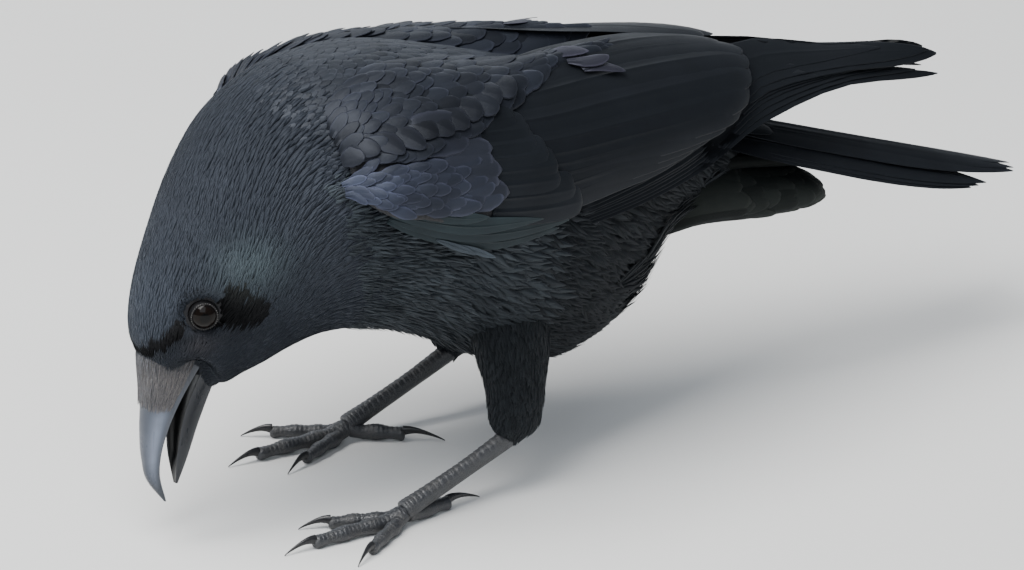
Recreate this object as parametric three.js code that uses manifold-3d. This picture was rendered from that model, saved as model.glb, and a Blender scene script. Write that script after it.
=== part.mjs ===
// A life-size carrion crow, standing with its neck bent and its bill just over the floor.
// Millimetres, +Z up. The bird faces -Y, and +X is its left side.
// The origin is the middle of the model's footprint, on the floor.
import * as THREE from "three";
import { mergeVertices } from "three/addons/utils/BufferGeometryUtils.js";
import Module from "manifold-3d";

const wasm = await Module();
wasm.setup();

// ---------------------------------------------------------------- driving dimensions
const GAP = 0.3; // clearance between neighbouring pieces
const FLOOR = 0;

// Trunk, neck and head, as stations from the rump to the lores. Each gives a point of the back line
// and of the belly line in the bird's middle plane [y, z], and half the width there.
const STATIONS = [
  { at: "rump end", back: [104, 107], belly: [94, 92], half: 12 },
  { at: "rump", back: [86, 120], belly: [72, 85], half: 22 },
  { at: "vent", back: [60, 135], belly: [52, 70], half: 30 },
  { at: "thighs", back: [30, 148], belly: [37, 48], half: 40 },
  { at: "belly", back: [-4, 158], belly: [9, 37], half: 50 },
  { at: "saddle", back: [-37, 169], belly: [-24, 45], half: 54 },
  { at: "mantle", back: [-68, 176.5], belly: [-50, 59.5], half: 52.5 },
  { at: "shoulders", back: [-98, 175.5], belly: [-74, 68], half: 48 },
  { at: "neck base", back: [-124, 165], belly: [-93, 70], half: 40.5 },
  { at: "neck", back: [-141.5, 147.5], belly: [-106, 67], half: 33 },
  { at: "nape", back: [-154, 125.5], belly: [-116.5, 63], half: 27 },
  { at: "crown", back: [-163.5, 103], belly: [-125, 60.5], half: 21.5 },
  { at: "brow", back: [-166.5, 85], belly: [-130, 58.5], half: 17.5 },
  { at: "lores", back: [-163.5, 73], belly: [-135, 57.5], half: 11.5 },
];
const stationOf = (name) => STATIONS.findIndex((s) => s.at === name) / (STATIONS.length - 1);

// Head frame: "ahead" runs from the gape towards the bill tip and "crown" runs towards the forehead.
const GAPE = new THREE.Vector3(0, -141, 70.5);
const BILL_TILT = THREE.MathUtils.degToRad(15); // how far the bill leans forward of straight down
const AHEAD = new THREE.Vector3(0, -Math.sin(BILL_TILT), -Math.cos(BILL_TILT));
const CROWN = new THREE.Vector3(0, -Math.cos(BILL_TILT), Math.sin(BILL_TILT));
const BILL_LENGTH = 57.6; // from the gape to the tip of the upper bill

const EYE = { x: 16.7, y: -147.2, z: 94.6, radius: 6 };

// Each foot: where the heel joint and the ankle are, the way the middle toe points, and the hind toe.
const FEET = {
  left: { side: 1, heel: [41.5, -20, 28.5], ankle: [41, -76, 6], yaw: -2, hind: 190 },
  right: { side: -1, heel: [-38, 6, 28.5], ankle: [-37, -51, 6], yaw: 3, hind: 214 },
};
const TOES = [
  // angle outwards from the middle toe, length without the claw, radius at the root, claw length
  { name: "inner", angle: -26, length: 27, radius: 2.9, claw: 11 },
  { name: "middle", angle: 0, length: 38, radius: 3.1, claw: 12 },
  { name: "outer", angle: 34, length: 28, radius: 2.8, claw: 11 },
  { name: "hind", angle: null, length: 21, radius: 3.2, claw: 15 },
];
const TOE_REACH = 1.2; // how far in front of the ankle a toe's root lies

// ---------------------------------------------------------------- tools
const v3 = (x, y, z) => new THREE.Vector3(x, y, z);
const clamp01 = (t) => Math.min(1, Math.max(0, t));

// A number that changes smoothly along 0..1 through evenly spaced values.
function along(values) {
  const curve = new THREE.SplineCurve(values.map((v, i) => new THREE.Vector2(i, v)));
  return (t) => curve.getPoint(clamp01(t)).y;
}

// A number that changes smoothly through [at, value] pairs set at uneven places.
function profile(pairs) {
  const at = pairs.map((pair) => pair[0]);
  const curve = new THREE.CubicInterpolant(at, pairs.map((pair) => pair[1]), 1);
  const [first, last] = [at[0], at[at.length - 1]];
  return (x) => curve.evaluate(Math.min(last, Math.max(first, x)))[0];
}

// Outward directions of a closed indexed surface's vertices: face normals weighted by their corners.
function vertexNormals(place, index) {
  const normals = Array.from({ length: place.count }, () => v3());
  const corner = [v3(), v3(), v3()];
  for (let i = 0; i < index.length; i += 3) {
    corner.forEach((p, k) => p.fromBufferAttribute(place, index[i + k]));
    const sides = corner.map((p, k) => corner[(k + 1) % 3].clone().sub(p));
    const face = sides[0].clone().cross(sides[1]).normalize();
    for (let k = 0; k < 3; k++) {
      const angle = Math.PI - sides[k].angleTo(sides[(k + 2) % 3]);
      normals[index[i + k]].addScaledVector(face, angle);
    }
  }
  return normals.map((normal) => normal.normalize());
}

// A manifold solid from a closed three.js geometry, its faces turned outwards and its whole surface
// moved outwards by "grow".
function solidOf(geometry, grow) {
  const bare = geometry.clone();
  bare.deleteAttribute("normal");
  bare.deleteAttribute("uv");
  const merged = mergeVertices(bare, 1e-4);
  const place = merged.attributes.position;
  const index = new Uint32Array(merged.index.array);
  const [a, b, c] = [v3(), v3(), v3()];
  let volume = 0;
  for (let i = 0; i < index.length; i += 3) {
    a.fromBufferAttribute(place, index[i]);
    b.fromBufferAttribute(place, index[i + 1]);
    c.fromBufferAttribute(place, index[i + 2]);
    volume += a.dot(b.cross(c));
  }
  if (volume < 0) {
    for (let i = 0; i < index.length; i += 3) [index[i], index[i + 1]] = [index[i + 1], index[i]];
  }
  if (grow > 0) {
    vertexNormals(place, index).forEach((normal, i) => {
      a.fromBufferAttribute(place, i).addScaledVector(normal, grow);
      place.setXYZ(i, a.x, a.y, a.z);
    });
  }
  const mesh = new wasm.Mesh({ numProp: 3, vertProperties: place.array, triVerts: index });
  return new wasm.Manifold(mesh);
}

// The union of one or more closed geometries.
function solid(geometries, grow = 0) {
  const bodies = [geometries].flat().map((geometry) => solidOf(geometry, grow));
  return bodies.reduce((sum, body) => sum.add(body));
}

// The same, larger all round by the clearance between neighbours.
const cutter = (geometries) => solid(geometries, GAP * 1.25);

// A closed tube: a cylinder geometry whose every vertex is moved by place(t, x, y), where t runs
// 0..1 along the tube and (x, y) is the vertex's place in the unit disc of its ring.
function tube(sides, rings, place) {
  const geometry = new THREE.CylinderGeometry(1, 1, 1, sides, rings);
  const position = geometry.attributes.position;
  const tidy = (n) => Math.round(n * 1e8) / 1e8;
  for (let i = 0; i < position.count; i++) {
    const t = tidy(position.getY(i) + 0.5);
    const p = place(t, tidy(position.getX(i)), tidy(position.getZ(i)));
    position.setXYZ(i, p.x, p.y, p.z);
  }
  return geometry;
}

// The largest body of a solid, so that slivers left by a cut are dropped.
function largest(cut) {
  return cut.decompose().reduce((best, body) => (body.volume() > best.volume() ? body : best));
}

// ---------------------------------------------------------------- trunk, neck and head
const backLine = new THREE.SplineCurve(STATIONS.map((s) => new THREE.Vector2(...s.back)));
const bellyLine = new THREE.SplineCurve(STATIONS.map((s) => new THREE.Vector2(...s.belly)));
const halfWidth = along(STATIONS.map((s) => s.half));

// The body from station parameter "from" to "to".
function bodyPart(from, to, sides, rings) {
  return tube(sides, rings, (t, x, y) => {
    const s = from + (to - from) * t;
    const back = backLine.getPoint(s);
    const belly = bellyLine.getPoint(s);
    const middle = back.clone().add(belly).multiplyScalar(0.5);
    const up = back.clone().sub(belly).multiplyScalar(0.5);
    return v3(halfWidth(s) * x, middle.x + up.x * y, middle.y + up.y * y);
  });
}

const BODY_SIDES = 20;
const SEAM = 0.0022; // half the station gap between two parts of the body
const NECK_START = (stationOf("shoulders") + stationOf("neck base")) / 2;
const HEAD_START = (stationOf("nape") + stationOf("neck")) / 2;
const HIND_END = (stationOf("vent") + stationOf("thighs")) / 2;
const hindBody = bodyPart(0, HIND_END - SEAM, BODY_SIDES, 6);
const trunk = bodyPart(HIND_END + SEAM, NECK_START - SEAM, BODY_SIDES, 10);
const neck = bodyPart(NECK_START + SEAM, HEAD_START - SEAM, BODY_SIDES, 5);
const skull = bodyPart(HEAD_START + SEAM, 1, BODY_SIDES, 8);
const bodyCutter = cutter([hindBody, trunk, neck, skull]);

// ---------------------------------------------------------------- bill, eyes and head
const headPoint = (x, ahead, crown) =>
  GAPE.clone().addScaledVector(AHEAD, ahead).addScaledVector(CROWN, crown).add(v3(x, 0, 0));

// Edges of the bill in the head frame, as [ahead, crown] pairs.
const CULMEN = profile([
  [-6, 21], [6, 20.3], [19, 18.1], [32, 15.5], [42, 12.5], [50, 8.5], [57.6, -0.6],
]);
const UPPER_EDGE = profile([
  [-6, -0.5], [5, 3.9], [16, 7.2], [29, 8.9], [38, 8.4], [46, 6.2], [57.6, -1.4],
]);
const LOWER_EDGE = profile([[-6, -0.9], [7, 1.6], [20, 3], [30, 2], [39, 0.2], [50.3, -3.6]]);
const KEEL = profile([[-6, -13.5], [11, -9.6], [25, -7.6], [42, -6.1], [50.3, -5]]);
const UPPER_HALF = profile([[-6, 9.4], [10, 8.3], [24, 6.8], [38, 4.9], [50, 2.6], [57.6, 0.5]]);
const LOWER_HALF = profile([[-6, 8.8], [10, 7.8], [24, 5.9], [38, 3.7], [50.3, 0.8]]);
const BILL_ROOT = -6; // where both halves end inside the head
const LOWER_LENGTH = 50.3;
const LIP = 0.8; // how far a half's inner face bulges past its cutting edge

// The upper bill: a rounded ridge over nearly flat cutting edges.
function upperBill() {
  return tube(14, 10, (t, x, y) => {
    const ahead = BILL_ROOT + (BILL_LENGTH - BILL_ROOT) * t;
    const edge = UPPER_EDGE(ahead);
    const crown = edge + y * (y > 0 ? CULMEN(ahead) - edge : LIP);
    return headPoint(UPPER_HALF(ahead) * x, ahead, crown);
  });
}

// The lower bill: nearly flat above, keeled below.
function lowerBill() {
  return tube(12, 8, (t, x, y) => {
    const ahead = BILL_ROOT + (LOWER_LENGTH - BILL_ROOT) * t;
    const edge = LOWER_EDGE(ahead);
    const crown = edge + y * (y > 0 ? LIP : edge - KEEL(ahead));
    return headPoint(LOWER_HALF(ahead) * x, ahead, crown);
  });
}

// The pad of bristles that lies over the nostrils, along the root of the upper bill.
const BRISTLES = {
  from: -8,
  to: 17,
  top: profile([[-8, 23.5], [0, 24], [8, 21.6], [17, 18.9]]),
  bottom: profile([[-8, 4], [0, 7], [8, 9.4], [17, 14.5]]),
  half: profile([[-8, 10.5], [0, 10.8], [8, 9.6], [17, 5.6]]),
};
function nasalBristles() {
  return tube(10, 4, (t, x, y) => {
    const ahead = THREE.MathUtils.lerp(BRISTLES.from, BRISTLES.to, t);
    const top = BRISTLES.top(ahead);
    const bottom = BRISTLES.bottom(ahead);
    const crown = (top + bottom) / 2 + ((top - bottom) / 2) * y;
    return headPoint(BRISTLES.half(ahead) * x, ahead, crown);
  });
}

function eyeBall(side) {
  return new THREE.SphereGeometry(EYE.radius, 12, 8).translate(side * EYE.x, EYE.y, EYE.z);
}

function head() {
  return largest(
    solid([skull, nasalBristles()])
      .subtract(cutter([upperBill(), lowerBill()]))
      .subtract(cutter([eyeBall(1), eyeBall(-1)])),
  );
}

// ---------------------------------------------------------------- wings and tail
// A long vane: a flat blade along a curve of points. "half" is its half width along 0..1, and its
// flat side turns from facing facings[0] at the root to facing facings[1] at the tip.
function vane(points, half, facings, thick, rings) {
  const path = new THREE.CatmullRomCurve3(points);
  const width = along(half);
  return tube(6, rings, (t, x, y) => {
    const ahead = path.getTangent(clamp01(t));
    const facing = facings[0].clone().lerp(facings[1], t);
    const across = facing.cross(ahead).normalize();
    const up = ahead.clone().cross(across).normalize();
    return path
      .getPoint(t)
      .addScaledVector(across, width(t) * x)
      .addScaledVector(up, (thick / 2) * y);
  });
}

const mirrored = (side) => (p) => v3(p[0] * side, p[1], p[2]);

// The folded left wing, seen from behind as a bowed shell over the flank: rows from the wrist to
// the longest tertial, each with its lower and its upper edge [x, z], how far it bows out between
// them, and its thickness.
const WING = [
  { y: -103, low: [49, 139], top: [41, 149], bow: 0.8, thick: 3 },
  { y: -96, low: [54, 131], top: [38, 156], bow: 3.5, thick: 8 },
  { y: -80, low: [57, 124], top: [34.5, 162.5], bow: 6.5, thick: 10.5 },
  { y: -52, low: [57.5, 115], top: [28, 165.5], bow: 8.5, thick: 12 },
  { y: -18, low: [56, 111], top: [22, 162], bow: 10, thick: 11 },
  { y: 20, low: [51, 113.5], top: [12, 157.5], bow: 11, thick: 8 },
  { y: 55, low: [44, 118.5], top: [6, 152.5], bow: 10, thick: 6 },
  { y: 86, low: [34.5, 125], top: [3.5, 145], bow: 7, thick: 3.6 },
  { y: 99, low: [25, 131], top: [6, 141.5], bow: 2.5, thick: 1.6 },
];
const wingValue = (pick) => profile(WING.map((row) => [row.y, pick(row)]));
const WING_EDGES = {
  lowX: wingValue((row) => row.low[0]),
  lowZ: wingValue((row) => row.low[1]),
  topX: wingValue((row) => row.top[0]),
  topZ: wingValue((row) => row.top[1]),
  bow: wingValue((row) => row.bow),
  thick: wingValue((row) => row.thick),
};
const WRIST = WING[0].y;
const COVERTS_END = -4;
const TERTIAL_END = WING[WING.length - 1].y;

// The wing's shell between two distances along the bird.
function wingShell(from, to, side, rings) {
  const e = WING_EDGES;
  return tube(12, rings, (t, x, y) => {
    const at = from + (to - from) * t;
    const low = v3(e.lowX(at), at, e.lowZ(at));
    const rise = v3(e.topX(at), at, e.topZ(at)).sub(low);
    const outward = v3(rise.z, 0, -rise.x).normalize();
    const v = (y + 1) / 2;
    const bulge = e.bow(at) * 4 * v * (1 - v) + (e.thick(at) / 2) * x;
    const p = low.addScaledVector(rise, v).addScaledVector(outward, bulge);
    return v3(p.x * side, p.y, p.z);
  });
}

// The alula and primary coverts: a narrow blade under the lower edge of the coverts.
const ALULA = {
  line: [[55, -84, 122], [58, -64, 113.5], [58.5, -44, 108], [56.5, -18, 107.5]],
  half: [1.2, 4.5, 5, 4.5, 1.5],
  slope: 0.25, // how far its outer face leans up
  thick: 3,
};
function alula(side) {
  const facing = v3(side, 0, ALULA.slope);
  return vane(ALULA.line.map(mirrored(side)), ALULA.half, [facing, facing], ALULA.thick, 8);
}

// The folded primaries: long blades laid over each other. The lowest ends in the outermost tip.
const PRIMARIES = {
  count: 3,
  lowest: [
    [53, -14, 108.5], [49.5, 22, 112.5], [42.5, 56, 117],
    [31, 90, 125], [17.5, 142, 125], [8, 196, 110.5],
  ],
  highest: [
    [50, -8, 115], [44, 26, 121], [35, 60, 127],
    [17.5, 95, 133.5], [8.5, 145, 127.5], [5, 195, 117.5],
  ],
  halfLowest: [3, 4.5, 5.5, 6, 5.5, 4, 2, 0.7],
  halfHighest: [3, 7, 8, 9.5, 9.5, 8, 7, 1.5],
  inset: 24, // how much shorter the middle blade is than the two outer ones
  rootSlope: 0.7, // rise of the outer face over its reach sideways, at the root
  tipSlope: 2.9, // and at the tip, where the blades lie nearly level
  thick: 1.2,
};
function primaries(side) {
  const facings = [v3(side, 0, PRIMARIES.rootSlope), v3(side, 0, PRIMARIES.tipSlope)];
  const last = PRIMARIES.lowest.length - 1;
  const fan = [];
  for (let i = 0; i < PRIMARIES.count; i++) {
    const k = i / (PRIMARIES.count - 1);
    const inset = PRIMARIES.inset * Math.sin(Math.PI * k);
    const points = PRIMARIES.lowest.map((low, j) => {
      const place = v3(...low).lerp(v3(...PRIMARIES.highest[j]), k);
      place.y -= inset * (j / last) ** 2;
      return mirrored(side)(place.toArray());
    });
    const half = PRIMARIES.halfLowest.map((low, j) => low + (PRIMARIES.halfHighest[j] - low) * k);
    fan.push(vane(points, half, facings, PRIMARIES.thick, 7));
  }
  return fan;
}

// The folded tail: pairs of blades, the middle pair on top and each further pair lower, wider and
// more steeply roofed.
const TAIL = {
  root: [52, 129.5],
  tip: [235, 60.8],
  pairs: 4,
  step: [1.8, 2.3], // how far each pair lies under the one before, at the root and at the tip
  middle: 3, // how far the middle pair's shafts stand from the middle plane
  spread: [4.8, 4.4], // how far each pair stands outside the one before, at the root and at the tip
  shorter: 5.6, // how much shorter the second pair is than the middle one
  droop: 0.8, // how far a blade's middle sags
  bowOut: 0.4, // how far each further pair's middle bows outwards
  roof: [0.1, 0.09], // how far the middle pair leans sideways, and each further pair more
  half: [6, 8.5, 9.5, 10, 10, 9.5, 7.5, 1.5],
  thick: 1.7,
};
function tailFan() {
  const slope = (TAIL.tip[1] - TAIL.root[1]) / (TAIL.tip[0] - TAIL.root[0]);
  const fan = [];
  for (let pair = 0; pair < TAIL.pairs; pair++) {
    const [rootDrop, tipDrop] = TAIL.step.map((step) => step * pair);
    const short = TAIL.shorter * pair ** 1.5;
    for (const side of [-1, 1]) {
      const [rootOut, tipOut] = TAIL.spread.map((spread) => side * (TAIL.middle + spread * pair));
      const root = v3(rootOut, TAIL.root[0], TAIL.root[1] - rootDrop);
      const tip = v3(tipOut, TAIL.tip[0] - short, TAIL.tip[1] - tipDrop - short * slope);
      const bend = v3(side * TAIL.bowOut * pair, 0, -TAIL.droop);
      const middle = root.clone().lerp(tip, 0.5).add(bend);
      const facing = v3(side * (TAIL.roof[0] + TAIL.roof[1] * pair), 0, 1);
      fan.push(vane([root, middle, tip], TAIL.half, [facing, facing], TAIL.thick, 4));
    }
  }
  return fan;
}

// The long soft feathers under the tail, in the bird's middle plane [y, z].
const UNDERTAIL = {
  line: [[56, 88], [78, 88], [104, 82], [128, 77], [142, 72]],
  wide: [24, 25, 23, 18, 7],
  deep: [18, 14, 10.5, 7.5, 2.5],
};
function undertailCoverts() {
  const line = new THREE.SplineCurve(UNDERTAIL.line.map((p) => new THREE.Vector2(...p)));
  const wide = along(UNDERTAIL.wide);
  const deep = along(UNDERTAIL.deep);
  return tube(14, 7, (t, x, y) => {
    const p = line.getPoint(t);
    return v3(wide(t) * x, p.x, p.y + deep(t) * y);
  });
}

// ---------------------------------------------------------------- legs
// A limb: an oval tube along a curve; "deep" is half its thickness in the plane of the leg.
function limb(points, wide, deep, sides, rings) {
  const path = new THREE.CatmullRomCurve3(points);
  const half = along(wide);
  const reach = along(deep);
  return tube(sides, rings, (t, x, y) => {
    const ahead = path.getTangent(clamp01(t));
    const across = v3(1, 0, 0).addScaledVector(ahead, -ahead.x).normalize();
    const up = ahead.clone().cross(across).normalize();
    return path.getPoint(t).addScaledVector(across, half(t) * x).addScaledVector(up, reach(t) * y);
  });
}

// The feathered thigh and shin, from inside the trunk to just past the heel. The line's points are
// measured outwards, back and up from the heel joint.
const THIGH = {
  line: [[-13, -2, 50], [-1.5, -6, 22], [0, -6.5, 5], [0, -8, -5.5]],
  wide: [13, 13, 10.5, 9, 7, 3],
  deep: [18, 16, 12.3, 11.5, 9.8, 3.5],
};
function thigh(foot) {
  const points = THIGH.line.map((p) => mirrored(foot.side)(p).add(v3(...foot.heel)));
  return limb(points, THIGH.wide, THIGH.deep, 12, 7);
}

const TARSUS = {
  sag: 0.6, // how far the bone bows under the straight line from heel to ankle
  wide: [3.6, 2.8, 2.6, 2.9, 3.9],
  deep: [4.2, 3.9, 3.5, 3.6, 3.8],
};
function tarsus(foot) {
  const heel = v3(...foot.heel);
  const ankle = v3(...foot.ankle);
  const middle = heel.clone().lerp(ankle, 0.5).add(v3(0, 0, -TARSUS.sag));
  return limb([heel, middle, ankle], TARSUS.wide, TARSUS.deep, 10, 6);
}

const direction = (degrees) => {
  const a = THREE.MathUtils.degToRad(degrees);
  return v3(Math.sin(a), -Math.cos(a), 0);
};
const toeDirection = (foot, spec) => direction(foot.side * ((spec.angle ?? foot.hind) + foot.yaw));

// A toe lies along the floor in knuckled joints.
const TOE = {
  rootHeight: 4.8,
  resting: 0.78, // height of its middle line over the floor, in its own radii
  arch: 0.7,
  knuckle: 0.1, // how far a knuckle swells, of the radius
  taper: 0.25, // how much thinner the end is than the root
  endFace: 0.7, // size of the rounded-off end face, of the radius there
};
function toe(foot, spec) {
  const way = toeDirection(foot, spec);
  const root = v3(...foot.ankle).setZ(TOE.rootHeight).addScaledVector(way, TOE_REACH);
  const across = v3(-way.y, way.x, 0);
  const resting = spec.radius * TOE.resting;
  const knuckles = spec.name === "hind" ? 2 : 3;
  return tube(7, 7, (t, x, y) => {
    const line = THREE.MathUtils.lerp(root.z, resting, clamp01(t * 4));
    const swell = 1 + TOE.knuckle * Math.cos(2 * Math.PI * knuckles * t);
    const radius = spec.radius * (1 - TOE.taper * t) * swell * (t === 1 ? TOE.endFace : 1);
    const height = line + TOE.arch * Math.sin(Math.PI * t) + radius * y;
    return v3(root.x, root.y, height)
      .addScaledVector(way, t * spec.length)
      .addScaledVector(across, radius * x);
  });
}

// A claw arches from the toe's end down to the floor.
const CLAW = {
  rise: 3.2, // height of its middle line at the root
  hindRise: 3.6,
  tipHeight: 0.25,
  arch: 0.9,
  hook: 0.1, // how far its middle hangs back, of its length
  rootRadius: 2.1,
  tipRadius: 0.35,
  narrow: 0.8, // width over depth
};
function claw(foot, spec) {
  const way = toeDirection(foot, spec);
  const start = v3(...foot.ankle).setZ(0).addScaledVector(way, TOE_REACH + spec.length + GAP);
  const across = v3(-way.y, way.x, 0);
  const rise = spec.name === "hind" ? CLAW.hindRise : CLAW.rise;
  return tube(6, 5, (t, x, y) => {
    const radius = THREE.MathUtils.lerp(CLAW.rootRadius, CLAW.tipRadius, t);
    const bend = Math.sin(Math.PI * t);
    const fall = Math.cos((Math.PI / 2) * t) ** 0.8;
    const height = rise * fall + CLAW.arch * bend + CLAW.tipHeight + radius * y;
    return start
      .clone()
      .setZ(height)
      .addScaledVector(way, spec.claw * (t - CLAW.hook * bend))
      .addScaledVector(across, radius * CLAW.narrow * x);
  });
}

// ---------------------------------------------------------------- assembly
const MATERIALS = {
  plumage: new THREE.MeshStandardMaterial({ color: 0x17181c, roughness: 0.6, metalness: 0 }),
  vanes: new THREE.MeshStandardMaterial({ color: 0x131419, roughness: 0.45, metalness: 0 }),
  bill: new THREE.MeshStandardMaterial({ color: 0x25262a, roughness: 0.35, metalness: 0 }),
  eye: new THREE.MeshStandardMaterial({ color: 0x0d0a08, roughness: 0.05, metalness: 0 }),
  scutes: new THREE.MeshStandardMaterial({ color: 0x1c1c1e, roughness: 0.5, metalness: 0 }),
  claws: new THREE.MeshStandardMaterial({ color: 0x141415, roughness: 0.35, metalness: 0 }),
};

const crow = new THREE.Group();

function addPiece(name, made, material) {
  const mesh = made.getMesh();
  const geometry = new THREE.BufferGeometry();
  geometry.setAttribute("position", new THREE.BufferAttribute(mesh.vertProperties, 3));
  geometry.setIndex(new THREE.BufferAttribute(mesh.triVerts, 1));
  const piece = new THREE.Mesh(geometry, material);
  piece.name = name;
  crow.add(piece);
}

addPiece("hind_body", solid(hindBody), MATERIALS.plumage);
addPiece("trunk", solid(trunk), MATERIALS.plumage);
addPiece("neck", solid(neck), MATERIALS.plumage);
addPiece("head", head(), MATERIALS.plumage);
addPiece("upper_bill", solid(upperBill()), MATERIALS.bill);
const lowerHalf = solid(lowerBill()).subtract(cutter(upperBill()));
addPiece("lower_bill", largest(lowerHalf), MATERIALS.bill);

const tailCutter = cutter(tailFan());
addPiece("tail", largest(solid(tailFan()).subtract(bodyCutter)), MATERIALS.vanes);
const undertail = solid(undertailCoverts()).subtract(bodyCutter).subtract(tailCutter);
addPiece("undertail_coverts", largest(undertail), MATERIALS.plumage);
const undertailCutter = cutter(undertailCoverts());

for (const [label, foot] of Object.entries(FEET)) {
  const coverts = wingShell(WRIST, COVERTS_END - GAP / 2, foot.side, 7);
  const secondaries = wingShell(COVERTS_END + GAP / 2, TERTIAL_END, foot.side, 7);
  const pieces = [
    ["wing_coverts", coverts, MATERIALS.plumage],
    ["wing_secondaries", secondaries, MATERIALS.vanes],
    ["wing_alula", alula(foot.side), MATERIALS.vanes],
    ["wing_primaries", primaries(foot.side), MATERIALS.vanes],
  ];
  let taken = bodyCutter.add(tailCutter).add(undertailCutter);
  for (const [name, shape, material] of pieces) {
    addPiece(`${label}_${name}`, largest(solid(shape).subtract(taken)), material);
    taken = taken.add(cutter(shape));
  }
  addPiece(`${label}_eye`, solid(eyeBall(foot.side)), MATERIALS.eye);
}

const SLAB = 2000; // wider than the bird
const slab = new THREE.BoxGeometry(SLAB, SLAB, SLAB).translate(0, 0, FLOOR - SLAB / 2);
const belowFloor = solid(slab);
for (const [label, foot] of Object.entries(FEET)) {
  const leg = tarsus(foot);
  const feathered = solid(thigh(foot)).subtract(bodyCutter).subtract(cutter(leg));
  addPiece(`${label}_thigh`, largest(feathered), MATERIALS.plumage);
  addPiece(`${label}_tarsus`, largest(solid(leg).subtract(belowFloor)), MATERIALS.scutes);
  let taken = belowFloor.add(cutter(leg));
  for (const spec of TOES) {
    const shape = toe(foot, spec);
    addPiece(`${label}_toe_${spec.name}`, largest(solid(shape).subtract(taken)), MATERIALS.scutes);
    taken = taken.add(cutter(shape));
  }
  for (const spec of TOES) {
    const shape = solid(claw(foot, spec)).subtract(taken);
    addPiece(`${label}_claw_${spec.name}`, largest(shape), MATERIALS.claws);
  }
}

// The frame: the middle of the footprint, on the floor.
const box = new THREE.Box3().setFromObject(crow);
const middle = box.getCenter(v3());
crow.position.set(-middle.x, -middle.y, -box.min.z);

export default crow;
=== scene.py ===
"""A life-size model of a carrion crow that stands with its neck bent and its bill open by the floor.

Metres, +Z up. The bird faces -Y and +X is its left side. Its sizes are in millimetres in the bird's
own frame, whose origin lies between the feet, and in_frame() turns them into the part's frame.
The coat is solid mesh: blades of hair-like feathers on head and neck, curved vanes on the back,
frayed clusters on the belly, and a quill of its own for each flight and tail feather.
"""

import logging
from dataclasses import dataclass, replace
from enum import Enum
from math import cos, pi, radians, sin
from typing import Callable

import bpy
import numpy as np
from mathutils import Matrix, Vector


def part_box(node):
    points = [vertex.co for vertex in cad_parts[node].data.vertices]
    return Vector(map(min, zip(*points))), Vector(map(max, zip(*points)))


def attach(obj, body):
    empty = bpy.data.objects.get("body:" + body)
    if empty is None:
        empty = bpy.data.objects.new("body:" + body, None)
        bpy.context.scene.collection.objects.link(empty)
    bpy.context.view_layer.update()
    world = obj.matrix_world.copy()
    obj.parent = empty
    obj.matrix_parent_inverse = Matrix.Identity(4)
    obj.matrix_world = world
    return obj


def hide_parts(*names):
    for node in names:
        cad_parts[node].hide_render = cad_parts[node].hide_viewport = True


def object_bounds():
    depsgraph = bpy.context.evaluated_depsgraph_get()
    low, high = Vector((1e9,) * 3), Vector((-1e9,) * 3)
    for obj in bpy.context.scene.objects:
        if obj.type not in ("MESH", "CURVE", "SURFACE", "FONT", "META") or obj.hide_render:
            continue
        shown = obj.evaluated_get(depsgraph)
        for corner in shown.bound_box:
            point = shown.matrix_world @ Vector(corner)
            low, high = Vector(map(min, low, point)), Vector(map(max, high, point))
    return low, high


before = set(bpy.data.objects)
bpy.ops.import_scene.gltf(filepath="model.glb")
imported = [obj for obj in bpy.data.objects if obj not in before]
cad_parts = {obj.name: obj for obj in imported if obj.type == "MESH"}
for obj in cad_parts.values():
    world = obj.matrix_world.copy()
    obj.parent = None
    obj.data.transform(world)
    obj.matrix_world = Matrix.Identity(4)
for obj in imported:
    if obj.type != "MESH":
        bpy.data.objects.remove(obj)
CAD_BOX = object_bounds()

LOG = logging.getLogger("crow")
BODY = "root"
MM = 0.001
Array = np.ndarray
Colour = tuple[float, float, float]
Thing = bpy.types.Object
Material = bpy.types.Material
Socket = bpy.types.NodeSocket


class Side(Enum):
    """Which side of the bird a paired piece is on, as the sign of its X."""

    LEFT = 1
    RIGHT = -1

    @property
    def label(self) -> str:
        """The side's word in the names of pieces."""
        return self.name.lower()


# ------------------------------------------------------------------ places in the bird's frame
EYE_CENTRE = np.array([16.7, -147.2, 94.6])
EYE_RADIUS = 6.0
LID_CENTRE = (-148.8, 94.3)  # middle of the lids' opening, along the bird and up


def _frame_shift() -> Array:
    """Finds how far the part's frame lies from the bird's own, from the two eyes' places.

    Returns:
        The shift to add to a point of the bird's frame, in millimetres.
    """
    centres = []
    for side in Side:
        low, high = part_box(f"{side.label}_eye")
        centres.append((np.array(low) + np.array(high)) / 2 / MM)
    middle = (centres[0] + centres[1]) / 2
    return middle - np.array([0.0, EYE_CENTRE[1], EYE_CENTRE[2]])


SHIFT = _frame_shift()


def in_frame(points: Array) -> Array:
    """Turns points of the bird's frame, in millimetres, into the part's frame, in metres."""
    return (np.asarray(points, float) + SHIFT) * MM


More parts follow.
